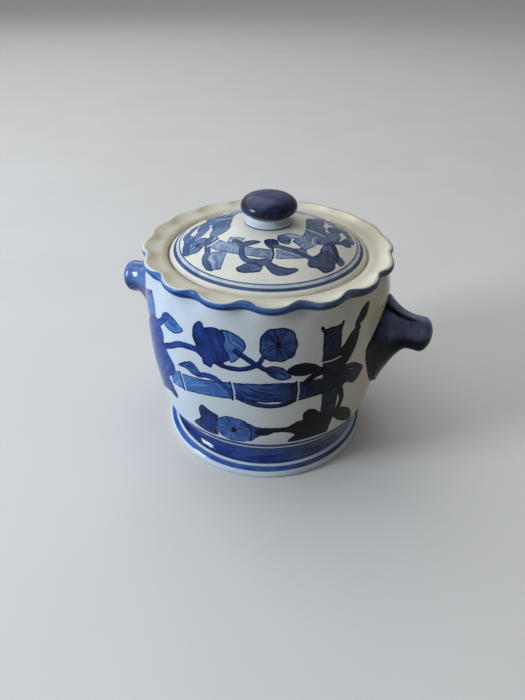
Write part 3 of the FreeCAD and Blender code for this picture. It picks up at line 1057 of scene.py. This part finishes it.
# ---- Rim ----
LIP_RADIUS = BELLY_RADIUS - SHOULDER_INSET - 0.7      # mean radius of the scalloped lip
RECESS_RADIUS = LID_RADIUS + 0.9                      # recess that holds the domed lid
LID_SEAT = LID_BOTTOM - 0.3
INNER_RECESS_RADIUS = DISC_RADIUS + 0.7
INNER_SEAT = DISC_BOTTOM - 0.3
MOUTH_RADIUS = INNER_RECESS_RADIUS - 5.5
LIP_TOP = RIM_TOP + 0.3                               # mean height of the lip's crest
LIP_ROLL = 3.5                                        # height of the rolled blue lip
LIP_DIP = 0.3                                         # dip of a lobe for each mm that it stands out
PINCH_TURN = 0.36             # radians from -Y to where the lip was pinched hardest
WIDE_TURN = 0.576             # and to where the waves are widest
FIRST_WAVE = 0.218            # the first wave's turn


def scallop_turn(angle):
    """How far each place on the lip is through its wave. The waves are wider at the front."""
    shape = bpy.context.scene.herb_pot_shape
    return shape.scallops * (angle - 0.075 * np.sin(angle - WIDE_TURN)) - FIRST_WAVE


def front(angle):
    """1 where the lip was pinched hardest, at the front, falling to 0 at the back."""
    return 0.5 + 0.5 * np.cos(angle - PINCH_TURN)


def scallop(angle, depth):
    """The hand-pinched waves of the lip: round lobes, tighter troughs, none quite alike."""
    turn = scallop_turn(angle)
    size = 0.74 + 0.12 * np.cos(angle - PINCH_TURN) + 0.05 * np.sin(3 * angle + 0.5)
    size += 0.38 * front(angle) ** 5
    return depth * size * (np.cos(turn) - 0.14 * np.cos(2 * turn))


def rim_profile(grain):
    """Rows of the collar: up the wall, over the lip, down the slope, seats and mouth.

    It returns them with the number of rows on the wall, the lip and the slope.
    """
    shoulder = BELLY_RADIUS - SHOULDER_INSET
    under_lip = LIP_TOP - LIP_ROLL
    outside = spline([(shoulder, COLLAR_BOTTOM), (shoulder - 0.7, 99), (shoulder - 1.5, 103),
                      (shoulder - 2.1, under_lip)], grain)
    lip = spline([(shoulder - 2.1, under_lip), (LIP_RADIUS - 0.1, under_lip + 0.6),
                  (LIP_RADIUS + 0.2, under_lip + 1.8), (LIP_RADIUS, LIP_TOP - 0.8),
                  (LIP_RADIUS - 0.9, LIP_TOP), (LIP_RADIUS - 2.0, LIP_TOP - 0.2)], 0.35)
    slope = spline([(LIP_RADIUS - 2.0, LIP_TOP - 0.2), (LIP_RADIUS - 4.2, LIP_TOP - 1.1),
                    (LIP_RADIUS - 7.0, RIM_TOP - 1.5), (RECESS_RADIUS + 0.8, RIM_TOP - 2.1),
                    (RECESS_RADIUS, RIM_TOP - 2.7)], 0.5)
    seats = [(RECESS_RADIUS, LID_SEAT + 0.5), (RECESS_RADIUS - 0.5, LID_SEAT),
             (INNER_RECESS_RADIUS + 0.6, LID_SEAT), (INNER_RECESS_RADIUS, LID_SEAT - 0.6),
             (INNER_RECESS_RADIUS, INNER_SEAT + 0.5), (INNER_RECESS_RADIUS - 0.5, INNER_SEAT),
             (MOUTH_RADIUS + 0.8, INNER_SEAT), (MOUTH_RADIUS, INNER_SEAT - 0.8),
             (MOUTH_RADIUS, COLLAR_BOTTOM + 0.8), (MOUTH_RADIUS + 0.8, COLLAR_BOTTOM)]
    under = straight(seats[-1], (shoulder, COLLAR_BOTTOM), 4)[:-1]
    return runs(outside, lip, slope, seats, under), len(outside), len(lip), len(slope)


def make_rim():
    shape = bpy.context.scene.herb_pot_shape
    profile, wall_rows, lip_rows, slope_rows = rim_profile(shape.brush_grain / MM)
    lip_end = wall_rows + lip_rows - 1
    slope_end = lip_end + slope_rows - 1
    row = np.arange(len(profile))
    rise = np.clip(row / (wall_rows - 1), 0, 1)
    fall = np.clip((slope_end - row) / (slope_end - lip_end), 0, 1)
    weight = np.where(row <= wall_rows - 1, rise ** 3, np.where(row <= lip_end, 1.0, fall ** 2))
    depth = shape.scallop_depth / MM

    def wave(rows, angle):
        out = weight[:, None] * scallop(angle, depth)
        return out, -LIP_DIP * out

    obj, angles, row_of = turned("rim", profile, shape.turned_segments, wave, creases=(0,))
    painting, co = wall_painting(obj, angles)
    paint_wall(painting)
    painting.clear(row_of > wall_rows + 2)
    run = arc_length(profile)
    lip_start, lip_stop = run[wall_rows - 1], run[lip_end]
    run = run[row_of]
    trough = np.clip(-np.cos(scallop_turn(angles)), 0, 1) ** 1.5
    low = lip_start - 0.7 - 1.1 * np.clip(-np.sin(angles), 0, 1)
    # the lip's blue band, lighter and greyer towards the right as painted sheen and shade
    painting.band(0.5 * between(run, low, lip_start + 3.1 - 0.7 * trough),
                  0.79 - 0.13 * sheen_shade_round(angles))
    # painted highlight: a paler wash along the top of the rolled lip
    reach = 3.6 + (0.9 + 1.4 * trough + np.clip(np.sin(angles), 0, 1)) * front(angles) ** 2
    painting.band(0.3 * between(run, lip_start + 1.6, lip_start + reach), 0.6, "wash")
    painting.sweep(around(angles), run * 2.2, row_of >= wall_rows - 1)
    painting.keep(obj)
    inside = np.clip((run - lip_stop + 3.5) / 2.5, 0, 1)
    radius = np.hypot(co[:, 0], co[:, 1])
    # painted shadow: amber darkens the slope next to the crevice round the lid
    crevice = np.exp(-((radius - RECESS_RADIUS - 1.6) / 3.2) ** 2) * (row_of > lip_end)
    troughs = (0.5 + trough) * (row_of > lip_end) * (row_of < slope_end)
    troughs *= np.clip((radius - RECESS_RADIUS) / 8, 0, 1)
    # on the outer wall amber is painted warm shade; on the slope it is the crevice's painted
    # shadow, with more amber towards the troughs
    amber_and_shade = np.where(row_of < lip_end, warm_shade_round(angles), 0.5 * crevice + 0.2 * troughs)
    seat = (row_of >= slope_end + 2) & (row_of <= slope_end + 3)
    # painted sheen and shade grey the cobalt
    store_glaze(obj, painted_sheen_shade(angles), np.where(row_of < wall_rows, 0.05, inside),
                np.clip(amber_and_shade, 0, 1), 0.7 * seat)
    dress(obj, material("Painted wall glaze", painted_glaze), "pot", "rim_collar")


# ---- Foot ----
TREAD_INSET = 0.5
TREAD_WIDTH = 6.4
STEP_INSET = 4.3              # from the foot's widest radius to the top of the bead
STEP_HEIGHT = 6.7
FOOT_WALL = 6.0
COVE_INSET = 3.4
BEAD_LINE = (4.4, 6.1)        # heights of the painted line on the bead
COVE_PAINT = 6.75             # height from which the cove is painted


def make_foot():
    shape = bpy.context.scene.herb_pot_shape
    neck = BELLY_RADIUS - NECK_INSET
    step = FOOT_RADIUS - STEP_INSET
    outer = FOOT_RADIUS - TREAD_INSET
    inner = outer - TREAD_WIDTH
    bead = spline([(outer - 0.7, 0), (outer, 0.5), (FOOT_RADIUS, 2.0), (FOOT_RADIUS - 0.5, 3.9),
                   (FOOT_RADIUS - 2.4, 5.6), (step, STEP_HEIGHT)], 0.3)
    cove = spline([(step, STEP_HEIGHT), (step - 1.9, 8.4),
                   ((step + neck) / 2 - COVE_INSET / 2, 11.4), (neck - 0.1, 14.4),
                   (neck, FOOT_TOP)], 0.4)
    profile = runs(bead, cove, straight((neck, FOOT_TOP), (neck - FOOT_WALL, FOOT_TOP), 2),
                   straight((neck - FOOT_WALL, FOOT_TOP), (inner, 0.5), 1.5),
                   [(inner, 0.5), (inner + 0.5, 0)],
                   straight((inner + 0.5, 0), (outer - 0.7, 0), 1)[:-1])
    crease = nearest_row(profile, (neck, FOOT_TOP))
    obj, angles, row_of = turned("foot", profile, shape.turned_segments // 2, creases=(crease,))
    height = positions(obj)[:, 2]
    painting = Painting(around(angles), height)
    ran_dry = np.exp(-((angles - 1.5) / 0.5) ** 2)       # the brush ran dry under the right lug
    painting.band(between(height, BEAD_LINE[0] + 0.4 * ran_dry, BEAD_LINE[1] - 0.4 * ran_dry), 0.67)
    # painted sheen and shade: the cove is lighter and greyer towards the right
    painting.band(between(height, COVE_PAINT, FOOT_TOP + 1),
                  0.85 - 0.2 * sheen_shade_round(angles) - 0.4 * ran_dry)
    painting.sweep(around(angles), height)
    painting.clear(row_of > crease)
    painting.keep(obj)
    # painted sheen and shade grey the cobalt
    store_glaze(obj, painted_sheen_shade(angles), warmth=0.1, clay=height < 0.6)
    dress(obj, material("Painted foot glaze", painted_glaze, gloss=0.32), "pot",
          "foot_ring")


# ---- Lugs ----
LUG_HEIGHT = 75.2             # middle of the snout
LUG_ROOT_TOP = 92.4
LUG_ROOT_BOTTOM = 42.5
LUG_ROOT_HALF_WIDTH = 25.0
SNOUT_HALF_HEIGHT = 8.9
SNOUT_HALF_WIDTH = 8.2
SNOUT_ROUND = 5.4
UPPER_FLARE = (20.0, 2.6)     # the flare's run out from the wall, and its power
LOWER_FLARE = (12.6, 1.55)
SIDE_FLARE = (22.0, 2.3)
LUG_SINK = 2.5                # how far the root is sunk into the wall
LUG_RINGS = ((73.0, 79.7, 1.6), (82.6, 78.6, 1.3))      # x, height and radius of raised rings
RING_RELIEF = 0.3
LUG_FACETS = 120


def ramp(value, start, length):
    """0 up to the start, then rising to 1 over the length."""
    return np.clip((value - start) / length, 0, 1)


def flare(x, start, run):
    """1 at the start, falling to 0 over the flare's run."""
    length, power = run
    return np.clip((start + length - x) / length, 0, 1) ** power


def make_lug(name, turn, lift):
    """A solid snout-shaped lug, its root spread out over the wall. lift raises its end."""
    side_root = math.sqrt(BELLY_RADIUS ** 2 - LUG_ROOT_HALF_WIDTH ** 2)
    round_start = LUG_REACH - SNOUT_ROUND
    neck = side_root + SIDE_FLARE[0]
    rows = np.concatenate([np.linspace(BELLY_RADIUS - 9, neck, 56),
                           np.linspace(neck, round_start, 14)[1:],
                           round_start + SNOUT_ROUND * np.sin(np.linspace(0, math.pi / 2, 18)[1:])])
    x = rows[:, None]
    angle = np.linspace(0, 2 * math.pi, LUG_FACETS, endpoint=False)
    from_ridge = np.abs((angle + math.pi) % (2 * math.pi) - math.pi)
    across, along = np.sin(angle), np.cos(angle)
    out = flare(x, side_root, SIDE_FLARE)
    upper = flare(x, BELLY_RADIUS, UPPER_FLARE) * (LUG_ROOT_TOP - LUG_HEIGHT - SNOUT_HALF_HEIGHT)
    lower = flare(x, BELLY_RADIUS, LOWER_FLARE) * (LUG_HEIGHT - LUG_ROOT_BOTTOM - SNOUT_HALF_HEIGHT)
    chin = 1 + 0.08 * np.exp(-((x - LUG_REACH + 4.5) / 4) ** 2)
    reach = np.where(along >= 0, SNOUT_HALF_HEIGHT + upper, (SNOUT_HALF_HEIGHT + lower) * chin)
    power = 2 / np.where(along >= 0, 2.0 - out * 0.25, 2.0 + out * 0.2)
    side = SNOUT_HALF_WIDTH + out * (LUG_ROOT_HALF_WIDTH - SNOUT_HALF_WIDTH)
    # the end is round, and a shallow groove runs along either side of the ridge
    groove = np.exp(-((np.degrees(from_ridge) - 27) / 6) ** 2)
    size = np.sqrt(1 - ramp(x, round_start, SNOUT_ROUND) ** 2)
    size = size - 0.03 * groove * ramp(-x, -80, 6) * ramp(x, 62, 4)
    y = side * np.sign(across) * np.abs(across) ** power * size
    z = LUG_HEIGHT + reach * np.sign(along) * np.abs(along) ** power * size
    z += lift * ramp(x, BELLY_RADIUS - 2, 16)
    push = np.maximum(1, (wall_radius(z) - LUG_SINK) / np.hypot(x, y))
    verts = np.stack([x * push, y * push, z], -1).reshape(-1, 3)
    faces = grid_faces(len(rows), LUG_FACETS)[:, [0, 3, 2, 1]].tolist()
    faces.append(list(range(LUG_FACETS)))
    faces.append(list(range(len(verts) - LUG_FACETS, len(verts)))[::-1])
    relief = np.zeros(len(verts))
    for ring_x, ring_z, radius in LUG_RINGS:
        gap = np.hypot(verts[:, 0] - ring_x, verts[:, 2] - ring_z)
        relief += RING_RELIEF * np.exp(-((gap - radius) / 0.5) ** 2)
    verts[:, 1] += np.sign(verts[:, 1]) * relief
    cos, sin = math.cos(math.radians(turn)), math.sin(math.radians(turn))
    verts[:, :2] = verts[:, :2] @ np.array([[cos, sin], [-sin, cos]])
    obj = make_object(name, verts, faces)
    # painted sheen lightens the top and a painted highlight the ridge, and a painted shadow darkens
    # a line along either side of it
    thin = ramp(x, BELLY_RADIUS - 4, 8) * np.clip(2 * along + 0.3, 0, 1)
    thin = thin + 0.6 * np.exp(-(from_ridge / 0.24) ** 2) * ramp(x, 62, 5)
    line = np.exp(-((from_ridge - 0.38) / 0.09) ** 2) * ramp(-x, -82, 5)
    store(obj, "thin", (0.66 * thin - 0.7 * line).ravel() - 0.1)
    return obj


def make_lugs():
    # painted light and shade: one cobalt glaze in two copies, darker and greyer on the shaded right
    # lug, lighter and bluer on the lit left lug
    dark = material("Dark cobalt glaze", solid_cobalt, depth=0.93, slate=0.85, spread=0.04,
                    thinning=0.54, roughness=0.2, gloss=0.08)
    blue = material("Blue cobalt glaze", solid_cobalt, depth=0.8, slate=0.3)
    for name, turn, lift, made in (("right_lug", 0, 0.0, dark), ("left_lug", 180, 1.7, blue)):
        dress(make_lug(name + "_skin", turn, lift), made, "pot", name)


# ---- Domed lid ----
LID_EDGE = 2.2                # height of the lid's upright edge
LID_WALL = 3.2
HOLLOW_RADIUS = INNER_RECESS_RADIUS - 4.5
RINGS = ((44.4, 45.1, 0.68, "ink"), (46.3, 47.9, 0.68, "ink"), (45.1, 46.3, 0.16, "wash"))
PAINTED_RADIUS = 49.0
AMBER_EDGE = 49.6             # radius of the amber band round the lid's edge


def lid_glaze():
    return material("Painted lid glaze", painted_glaze, outline=0.24, waves=0.35)


def dome(inset):
    """Centre height and radius of the lid's dome."""
    edge = (LID_RADIUS, LID_BOTTOM + LID_EDGE)
    top = (KNOB_FOOT_RADIUS, LID_TOP)
    centre = (top[0] ** 2 + top[1] ** 2 - edge[0] ** 2 - edge[1] ** 2) / (2 * (top[1] - edge[1]))
    return centre, math.hypot(edge[0], edge[1] - centre) - inset


def dome_rows(inset, start, end, spacing):
    """Profile points along the dome, from one radius to another."""
    centre, radius = dome(inset)
    r = np.linspace(start, end, max(2, round(abs(end - start) / spacing) + 1))
    return np.stack([r, centre + np.sqrt(radius ** 2 - r ** 2)], -1)


def make_lid():
    shape = bpy.context.scene.herb_pot_shape
    edge_top = LID_BOTTOM + LID_EDGE
    top = dome_rows(0, LID_RADIUS - 0.9, KNOB_FOOT_RADIUS - 3, shape.brush_grain / MM)
    under = dome_rows(LID_WALL, 0.0, HOLLOW_RADIUS, 4)
    edge = [(HOLLOW_RADIUS, LID_BOTTOM + 0.6), (HOLLOW_RADIUS + 0.6, LID_BOTTOM),
            (LID_RADIUS - 0.7, LID_BOTTOM), (LID_RADIUS - 0.15, LID_BOTTOM + 0.3),
            (LID_RADIUS, LID_BOTTOM + 0.9), (LID_RADIUS - 0.05, edge_top - 0.6),
            (LID_RADIUS - 0.35, edge_top)]
    profile = runs(under, edge, top, [(4.0, LID_TOP + 0.6), (0.0, LID_TOP + 0.6)])
    obj, _, _ = turned("domed_lid", profile, 640)
    co = positions(obj)
    radius = np.hypot(co[:, 0], co[:, 1])
    painting = Painting(co[:, 0], co[:, 1])
    paint_lid(painting)
    for low, high, tone, layer in RINGS:
        painting.band(between(radius, low, high), tone, layer)
    centre, outer = dome(0)
    below = np.hypot(radius, co[:, 2] - centre) < outer - 0.5
    painting.clear(below | (radius > PAINTED_RADIUS))
    painting.keep(obj)
    amber_and_shade = np.where(below, 0.0, 0.35 * np.exp(-((radius - AMBER_EDGE) / 0.8) ** 2))
    seat = below & (radius > HOLLOW_RADIUS + 0.4) & (co[:, 2] < LID_BOTTOM + 0.4)
    # painted sheen and shade: the lid's cobalt greys more towards the right
    store_glaze(obj, 0.6 + co[:, 0] / 200, np.where(below, 0.7, 0.8), amber_and_shade, seat)
    dress(obj, lid_glaze(), "outer_lid", "lid_dome")


def make_locating_ring():
    """The ring under the lid keeps its CAD shape, as bare clay."""
    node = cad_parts["lid_locating_ring"]
    node.data.materials.clear()
    node.data.materials.append(material("Bare clay", bare_clay))


# ---- Knob ----
COLLAR_MM_PER_DEGREE = 0.19   # round the collar
KNOB_CORE = 6.0               # radius of the flat ends that the collar's sides start from


def make_knob():
    make_knob_collar()
    make_knob_cap()


def make_knob_collar():
    low = LID_TOP - 0.9
    collar = spline([(KNOB_FOOT_RADIUS, low), (KNOB_FOOT_RADIUS + 0.1, LID_TOP + 0.5),
                     (KNOB_FOOT_RADIUS - 0.9, LID_TOP + 1.6), (9.9, LID_TOP + 3.1),
                     (10.6, CAP_BOTTOM), (10.4, CAP_BOTTOM + 0.8)], 0.3)
    profile = runs([(0, low), (KNOB_CORE, low)], straight((KNOB_CORE, low), collar[0], 3), collar,
                   [(KNOB_CORE, CAP_BOTTOM + 0.8), (0, CAP_BOTTOM + 0.8)])
    obj, angles, _ = turned("knob_collar_skin", profile, 160)
    height, round_it = positions(obj)[:, 2], np.degrees(angles) * COLLAR_MM_PER_DEGREE
    painting = Painting(round_it, height)
    painting.band(between(height, LID_TOP - 0.3, LID_TOP + 0.55), 0.78)
    painting.band(between(height, CAP_BOTTOM - 0.5, CAP_BOTTOM + 2), 0.5, "wash")
    painting.sweep(height, round_it)
    painting.keep(obj)
    # painted sheen and shade grey the collar's blue lines
    store_glaze(obj, slate=0.4, warmth=0.25)
    dress(obj, lid_glaze(), "outer_lid", "knob_collar")


def make_knob_cap():
    tall = CAP_TOP - CAP_BOTTOM
    side = spline([(10.7, CAP_BOTTOM), (12.6, CAP_BOTTOM + 1.2),
                   (CAP_RADIUS - 0.1, CAP_BOTTOM + 2.9), (CAP_RADIUS, CAP_BOTTOM + 0.42 * tall),
                   (12.5, CAP_BOTTOM + 0.68 * tall), (9.2, CAP_BOTTOM + 0.87 * tall),
                   (4.8, CAP_BOTTOM + 0.975 * tall), (0, CAP_TOP)], 0.3)
    profile = runs([(0, CAP_BOTTOM), (5, CAP_BOTTOM)], straight((5, CAP_BOTTOM), side[0], 3), side)
    obj, _, _ = turned("knob_cap_skin", profile, 200)
    # painted sheen: the cap's cobalt is lighter towards its top, and painted sheen and shade grey
    # it
    store(obj, "thin", ramp(positions(obj)[:, 2], CAP_BOTTOM + 0.75 * tall, tall))
    dress(obj, material("Knob glaze", solid_cobalt, depth=0.87, slate=0.68, spread=0.04,
                        roughness=0.2, gloss=0.28), "outer_lid", "knob_cap")


# ---- Inner lid ----
def make_inner_lid():
    r, low, high = DISC_RADIUS, DISC_BOTTOM, DISC_TOP
    edge = spline([(r - 1.1, low), (r - 0.3, low + 0.3), (r, low + 1.1), (r, high - 1.1),
                   (r - 0.3, high - 0.3), (r - 1.1, high)], 0.3)
    profile = runs(straight((0, low), edge[0], 5), edge, straight(edge[-1], (7, high - 0.2), 3),
                   [(0, high - 0.2)])
    obj, _, _ = turned("inner_lid_disc_skin", profile, 320)
    white = material("Plain glaze", plain_glaze, warmth=0.6)
    dress(obj, white, "inner_lid", "inner_lid_disc")

    side = spline([(6.6, high - 0.3), (5.3, high + 0.7), (4.6, high + 2.6),
                   (SMALL_KNOB_RADIUS - 1, high + 4.2), (SMALL_KNOB_RADIUS, high + 5.9),
                   (SMALL_KNOB_RADIUS - 1.2, SMALL_KNOB_TOP - 1.4), (3.4, SMALL_KNOB_TOP - 0.3),
                   (0, SMALL_KNOB_TOP)], 0.3)
    profile = runs([(0, high - 0.3), (3, high - 0.3)], side)
    obj, _, _ = turned("inner_lid_knob_skin", profile, 128)
    dress(obj, white, "inner_lid", "inner_lid_knob")


# ============================================================================
# Stage
# ============================================================================
CAMERA_TURN = 19.52           # degrees round from -Y
CAMERA_PITCH = 36.02          # degrees down
CAMERA_ROLL = 0.74
CAMERA_PLACE = (0.08076, -0.23455, 0.22391)
IMAGE_HEIGHT = 700
FOCAL_PIXELS = 526
SENSOR = 36.0
FLOOR_HALF = 9.0              # metres
WINDOW_TURN = 0.5             # radians from the camera's left to the window side
BACKDROP = (0.86, 0.88, 0.9)


def make_camera():
    data = bpy.data.cameras.new("camera")
    data.sensor_width = SENSOR
    data.lens = FOCAL_PIXELS / IMAGE_HEIGHT * SENSOR
    data.clip_start = 0.01
    camera = bpy.data.objects.new("camera", data)
    bpy.context.scene.collection.objects.link(camera)
    turn = Matrix.Rotation(math.radians(CAMERA_TURN), 4, "Z")
    tip = Matrix.Rotation(math.radians(90 - CAMERA_PITCH), 4, "X")
    roll = Matrix.Rotation(math.radians(CAMERA_ROLL), 4, "Z")
    camera.matrix_world = Matrix.Translation(CAMERA_PLACE) @ turn @ tip @ roll
    bpy.context.scene.camera = camera


def make_lamp(name, place, size, power, colour, target=(0, 0, 0.07)):
    """A soft rectangular lamp aimed at the pot. place is given as the camera sees it."""
    data = bpy.data.lights.new(name, "AREA")
    data.shape = "RECTANGLE"
    data.size, data.size_y = size
    data.energy = power
    data.color = colour
    lamp = bpy.data.objects.new(name, data)
    bpy.context.scene.collection.objects.link(lamp)
    where = Matrix.Rotation(math.radians(CAMERA_TURN), 4, "Z") @ Vector(place)
    facing = (Vector(target) - where).to_track_quat("-Z", "Y")
    lamp.matrix_world = Matrix.Translation(where) @ facing.to_matrix().to_4x4()


def make_floor():
    stage = bpy.context.scene.herb_pot_stage
    half = FLOOR_HALF
    mesh = bpy.data.meshes.new("floor")
    mesh.from_pydata([(-half, -half, 0), (half, -half, 0), (half, half, 0), (-half, half, 0)], [],
                     [(0, 1, 2, 3)])
    floor = bpy.data.objects.new("floor", mesh)
    bpy.context.scene.collection.objects.link(floor)
    made = bpy.data.materials.new("Floor")
    made.use_nodes = True
    s = Sketch(made.node_tree)
    shader = made.node_tree.nodes["Principled BSDF"]
    tone = s.step(s.noise(s.millimetres(), 0.01, 2), 0.35, 0.65, 0.985, 1.01)
    s.feed(shader.inputs["Base Color"], s.blend(1.0, rgba(stage.floor_colour), tone, "MULTIPLY"))
    s.feed(shader.inputs["Roughness"], 0.7)
    mesh.materials.append(made)


def make_world():
    """Light from all round, brighter and bluer on the window side, before a plain backdrop."""
    stage = bpy.context.scene.herb_pot_stage
    world = bpy.data.worlds.new("studio")
    bpy.context.scene.world = world
    world.use_nodes = True
    world.node_tree.nodes.clear()
    s = Sketch(world.node_tree)
    direction = s.node("ShaderNodeTexCoord").outputs["Generated"]
    split = s.node("ShaderNodeSeparateXYZ", {0: direction})
    turn = math.radians(CAMERA_TURN) - WINDOW_TURN
    side = s.node("ShaderNodeVectorMath", {0: direction, 1: (-math.cos(turn), -math.sin(turn), 0)},
                  operation="DOT_PRODUCT").outputs["Value"]
    colour = s.blend(s.step(side, -0.8, 0.9), rgba(stage.room_colour), rgba(stage.window_colour))
    height = s.step(split.outputs["Z"], -0.2, 0.9, 0.7 * stage.room_light, 1.15 * stage.room_light)
    light = s.node("ShaderNodeBackground", {
        "Color": colour, "Strength": s.times(height, s.step(side, -0.8, 0.9, 0.35, 1.25))})
    backdrop = s.node("ShaderNodeBackground", {"Color": rgba(BACKDROP), "Strength": 1.0})
    seen = s.node("ShaderNodeLightPath").outputs["Is Camera Ray"]
    mix = s.node("ShaderNodeMixShader", {0: seen, 1: light.outputs[0], 2: backdrop.outputs[0]})
    s.node("ShaderNodeOutputWorld", {0: mix.outputs[0]})


def make_stage():
    stage = bpy.context.scene.herb_pot_stage
    bpy.context.scene.view_settings.view_transform = "Standard"
    make_camera()
    make_floor()
    make_world()
    power = stage.lamp_power
    make_lamp("window_lamp", (-1.17, -0.4, 0.51), (0.34, 0.42), 14.0 * power, (0.76, 0.88, 1.0))
    make_lamp("ceiling_lamp", (-0.9, 0.7, 1.9), (2.8, 2.8), 31.0 * power, (0.97, 0.98, 1.0))


# ============================================================================
# Properties
# ============================================================================
class HerbPotShape(bpy.types.PropertyGroup):
    scallops: bpy.props.IntProperty(
        name="Scallops", description="Number of lobes round the rim", default=17, min=6)
    scallop_depth: bpy.props.FloatProperty(
        name="Scallop Depth", description="How far each lobe stands out from the mean rim",
        default=1.2 * MM, unit="LENGTH")
    brush_grain: bpy.props.FloatProperty(
        name="Brush Grain", description="Spacing of the mesh that carries the brushwork",
        default=0.5 * MM, unit="LENGTH")
    turned_segments: bpy.props.IntProperty(
        name="Turned Segments", description="Facets round the belly and the rim",
        default=816, min=34)


class HerbPotColours(bpy.types.PropertyGroup):
    white_glaze: bpy.props.FloatVectorProperty(
        name="White Glaze", description="Clear glaze over the white body", subtype="COLOR",
        default=(0.47, 0.555, 0.66))
    cream_glaze: bpy.props.FloatVectorProperty(
        name="Cream Glaze", description="Warmer glaze on the rim, the lid and inside",
        subtype="COLOR", default=(0.70, 0.66, 0.545))
    # also the colour of painted warm shade on the wall's right and painted shadow round the lid
    pooled_glaze: bpy.props.FloatVectorProperty(
        name="Pooled Glaze And Shade",
        description="Amber of thick glaze, and painted shade in the crevice round the lid and on the wall's right",
        subtype="COLOR", default=(0.44, 0.375, 0.26))
    bare_clay: bpy.props.FloatVectorProperty(
        name="Bare Clay", description="Unglazed clay of the tread and the seats",
        subtype="COLOR", default=(0.72, 0.64, 0.51))


class HerbPotStage(bpy.types.PropertyGroup):
    floor_colour: bpy.props.FloatVectorProperty(
        name="Floor Colour", description="Plain pale floor", subtype="COLOR",
        default=(0.62, 0.605, 0.59))
    room_colour: bpy.props.FloatVectorProperty(
        name="Room Colour", description="Colour of the light from the right", subtype="COLOR",
        default=(1.0, 0.96, 0.9))
    window_colour: bpy.props.FloatVectorProperty(
        name="Window Colour", description="Colour of the light from the left", subtype="COLOR",
        default=(0.86, 0.94, 1.0))
    room_light: bpy.props.FloatProperty(
        name="Room Light", description="Strength of the light from all round", default=0.45)
    lamp_power: bpy.props.FloatProperty(
        name="Lamp Power", description="Multiplies the power of every lamp", default=1.0)


# ============================================================================
# Operators and panel
# ============================================================================
class HERBPOT_OT_stage(bpy.types.Operator):
    """Adds the camera, the lamps and the pale floor"""
    bl_idname = "herb_pot.stage"
    bl_label = "Add Stage"

    def execute(self, context):
        make_stage()
        return {"FINISHED"}


class HERBPOT_OT_belly(bpy.types.Operator):
    """Adds the painted belly with its floor"""
    bl_idname = "herb_pot.belly"
    bl_label = "Add Belly"

    def execute(self, context):
        make_belly()
        return {"FINISHED"}


class HERBPOT_OT_rim(bpy.types.Operator):
    """Adds the scalloped rim with its two lid seats"""
    bl_idname = "herb_pot.rim"
    bl_label = "Add Rim"

    def execute(self, context):
        make_rim()
        return {"FINISHED"}


class HERBPOT_OT_foot(bpy.types.Operator):
    """Adds the banded foot ring"""
    bl_idname = "herb_pot.foot"
    bl_label = "Add Foot"

    def execute(self, context):
        make_foot()
        return {"FINISHED"}


class HERBPOT_OT_lugs(bpy.types.Operator):
    """Adds the two cobalt lugs"""
    bl_idname = "herb_pot.lugs"
    bl_label = "Add Lugs"

    def execute(self, context):
        make_lugs()
        return {"FINISHED"}


class HERBPOT_OT_domed_lid(bpy.types.Operator):
    """Adds the painted domed lid and finishes the ring under it"""
    bl_idname = "herb_pot.domed_lid"
    bl_label = "Add Domed Lid"

    def execute(self, context):
        make_lid()
        make_locating_ring()
        return {"FINISHED"}


class HERBPOT_OT_knob(bpy.types.Operator):
    """Adds the lid's knob and its white collar"""
    bl_idname = "herb_pot.knob"
    bl_label = "Add Knob"

    def execute(self, context):
        make_knob()
        return {"FINISHED"}


class HERBPOT_OT_inner_lid(bpy.types.Operator):
    """Adds the flat inner lid and its knob"""
    bl_idname = "herb_pot.inner_lid"
    bl_label = "Add Inner Lid"

    def execute(self, context):
        make_inner_lid()
        return {"FINISHED"}


OPERATORS = (HERBPOT_OT_stage, HERBPOT_OT_belly, HERBPOT_OT_rim, HERBPOT_OT_foot,
             HERBPOT_OT_lugs, HERBPOT_OT_domed_lid, HERBPOT_OT_knob, HERBPOT_OT_inner_lid)


class HERBPOT_PT_sidebar(bpy.types.Panel):
    """Lists the pot's settings and pieces"""
    bl_label = "Herb Pot"
    bl_idname = "HERBPOT_PT_sidebar"
    bl_space_type = "VIEW_3D"
    bl_region_type = "UI"
    bl_category = "Herb Pot"

    def draw(self, context):
        for settings in (context.scene.herb_pot_shape, context.scene.herb_pot_colours,
                         context.scene.herb_pot_stage):
            box = self.layout.box()
            for name in settings.__annotations__:
                box.prop(settings, name)
        for operator in OPERATORS:
            self.layout.operator(operator.bl_idname)


GROUPS = (("herb_pot_shape", HerbPotShape), ("herb_pot_colours", HerbPotColours),
          ("herb_pot_stage", HerbPotStage))


def register():
    for name, group in GROUPS:
        bpy.utils.register_class(group)
        setattr(bpy.types.Scene, name, bpy.props.PointerProperty(type=group))
    for operator in OPERATORS:
        bpy.utils.register_class(operator)
    bpy.utils.register_class(HERBPOT_PT_sidebar)


def unregister():
    bpy.utils.unregister_class(HERBPOT_PT_sidebar)
    for operator in reversed(OPERATORS):
        bpy.utils.unregister_class(operator)
    for name, group in reversed(GROUPS):
        delattr(bpy.types.Scene, name)
        bpy.utils.unregister_class(group)


def main():
    register()
    for operator in OPERATORS:
        group, name = operator.bl_idname.split(".")
        getattr(getattr(bpy.ops, group), name)()


if __name__ == "__main__":
    main()
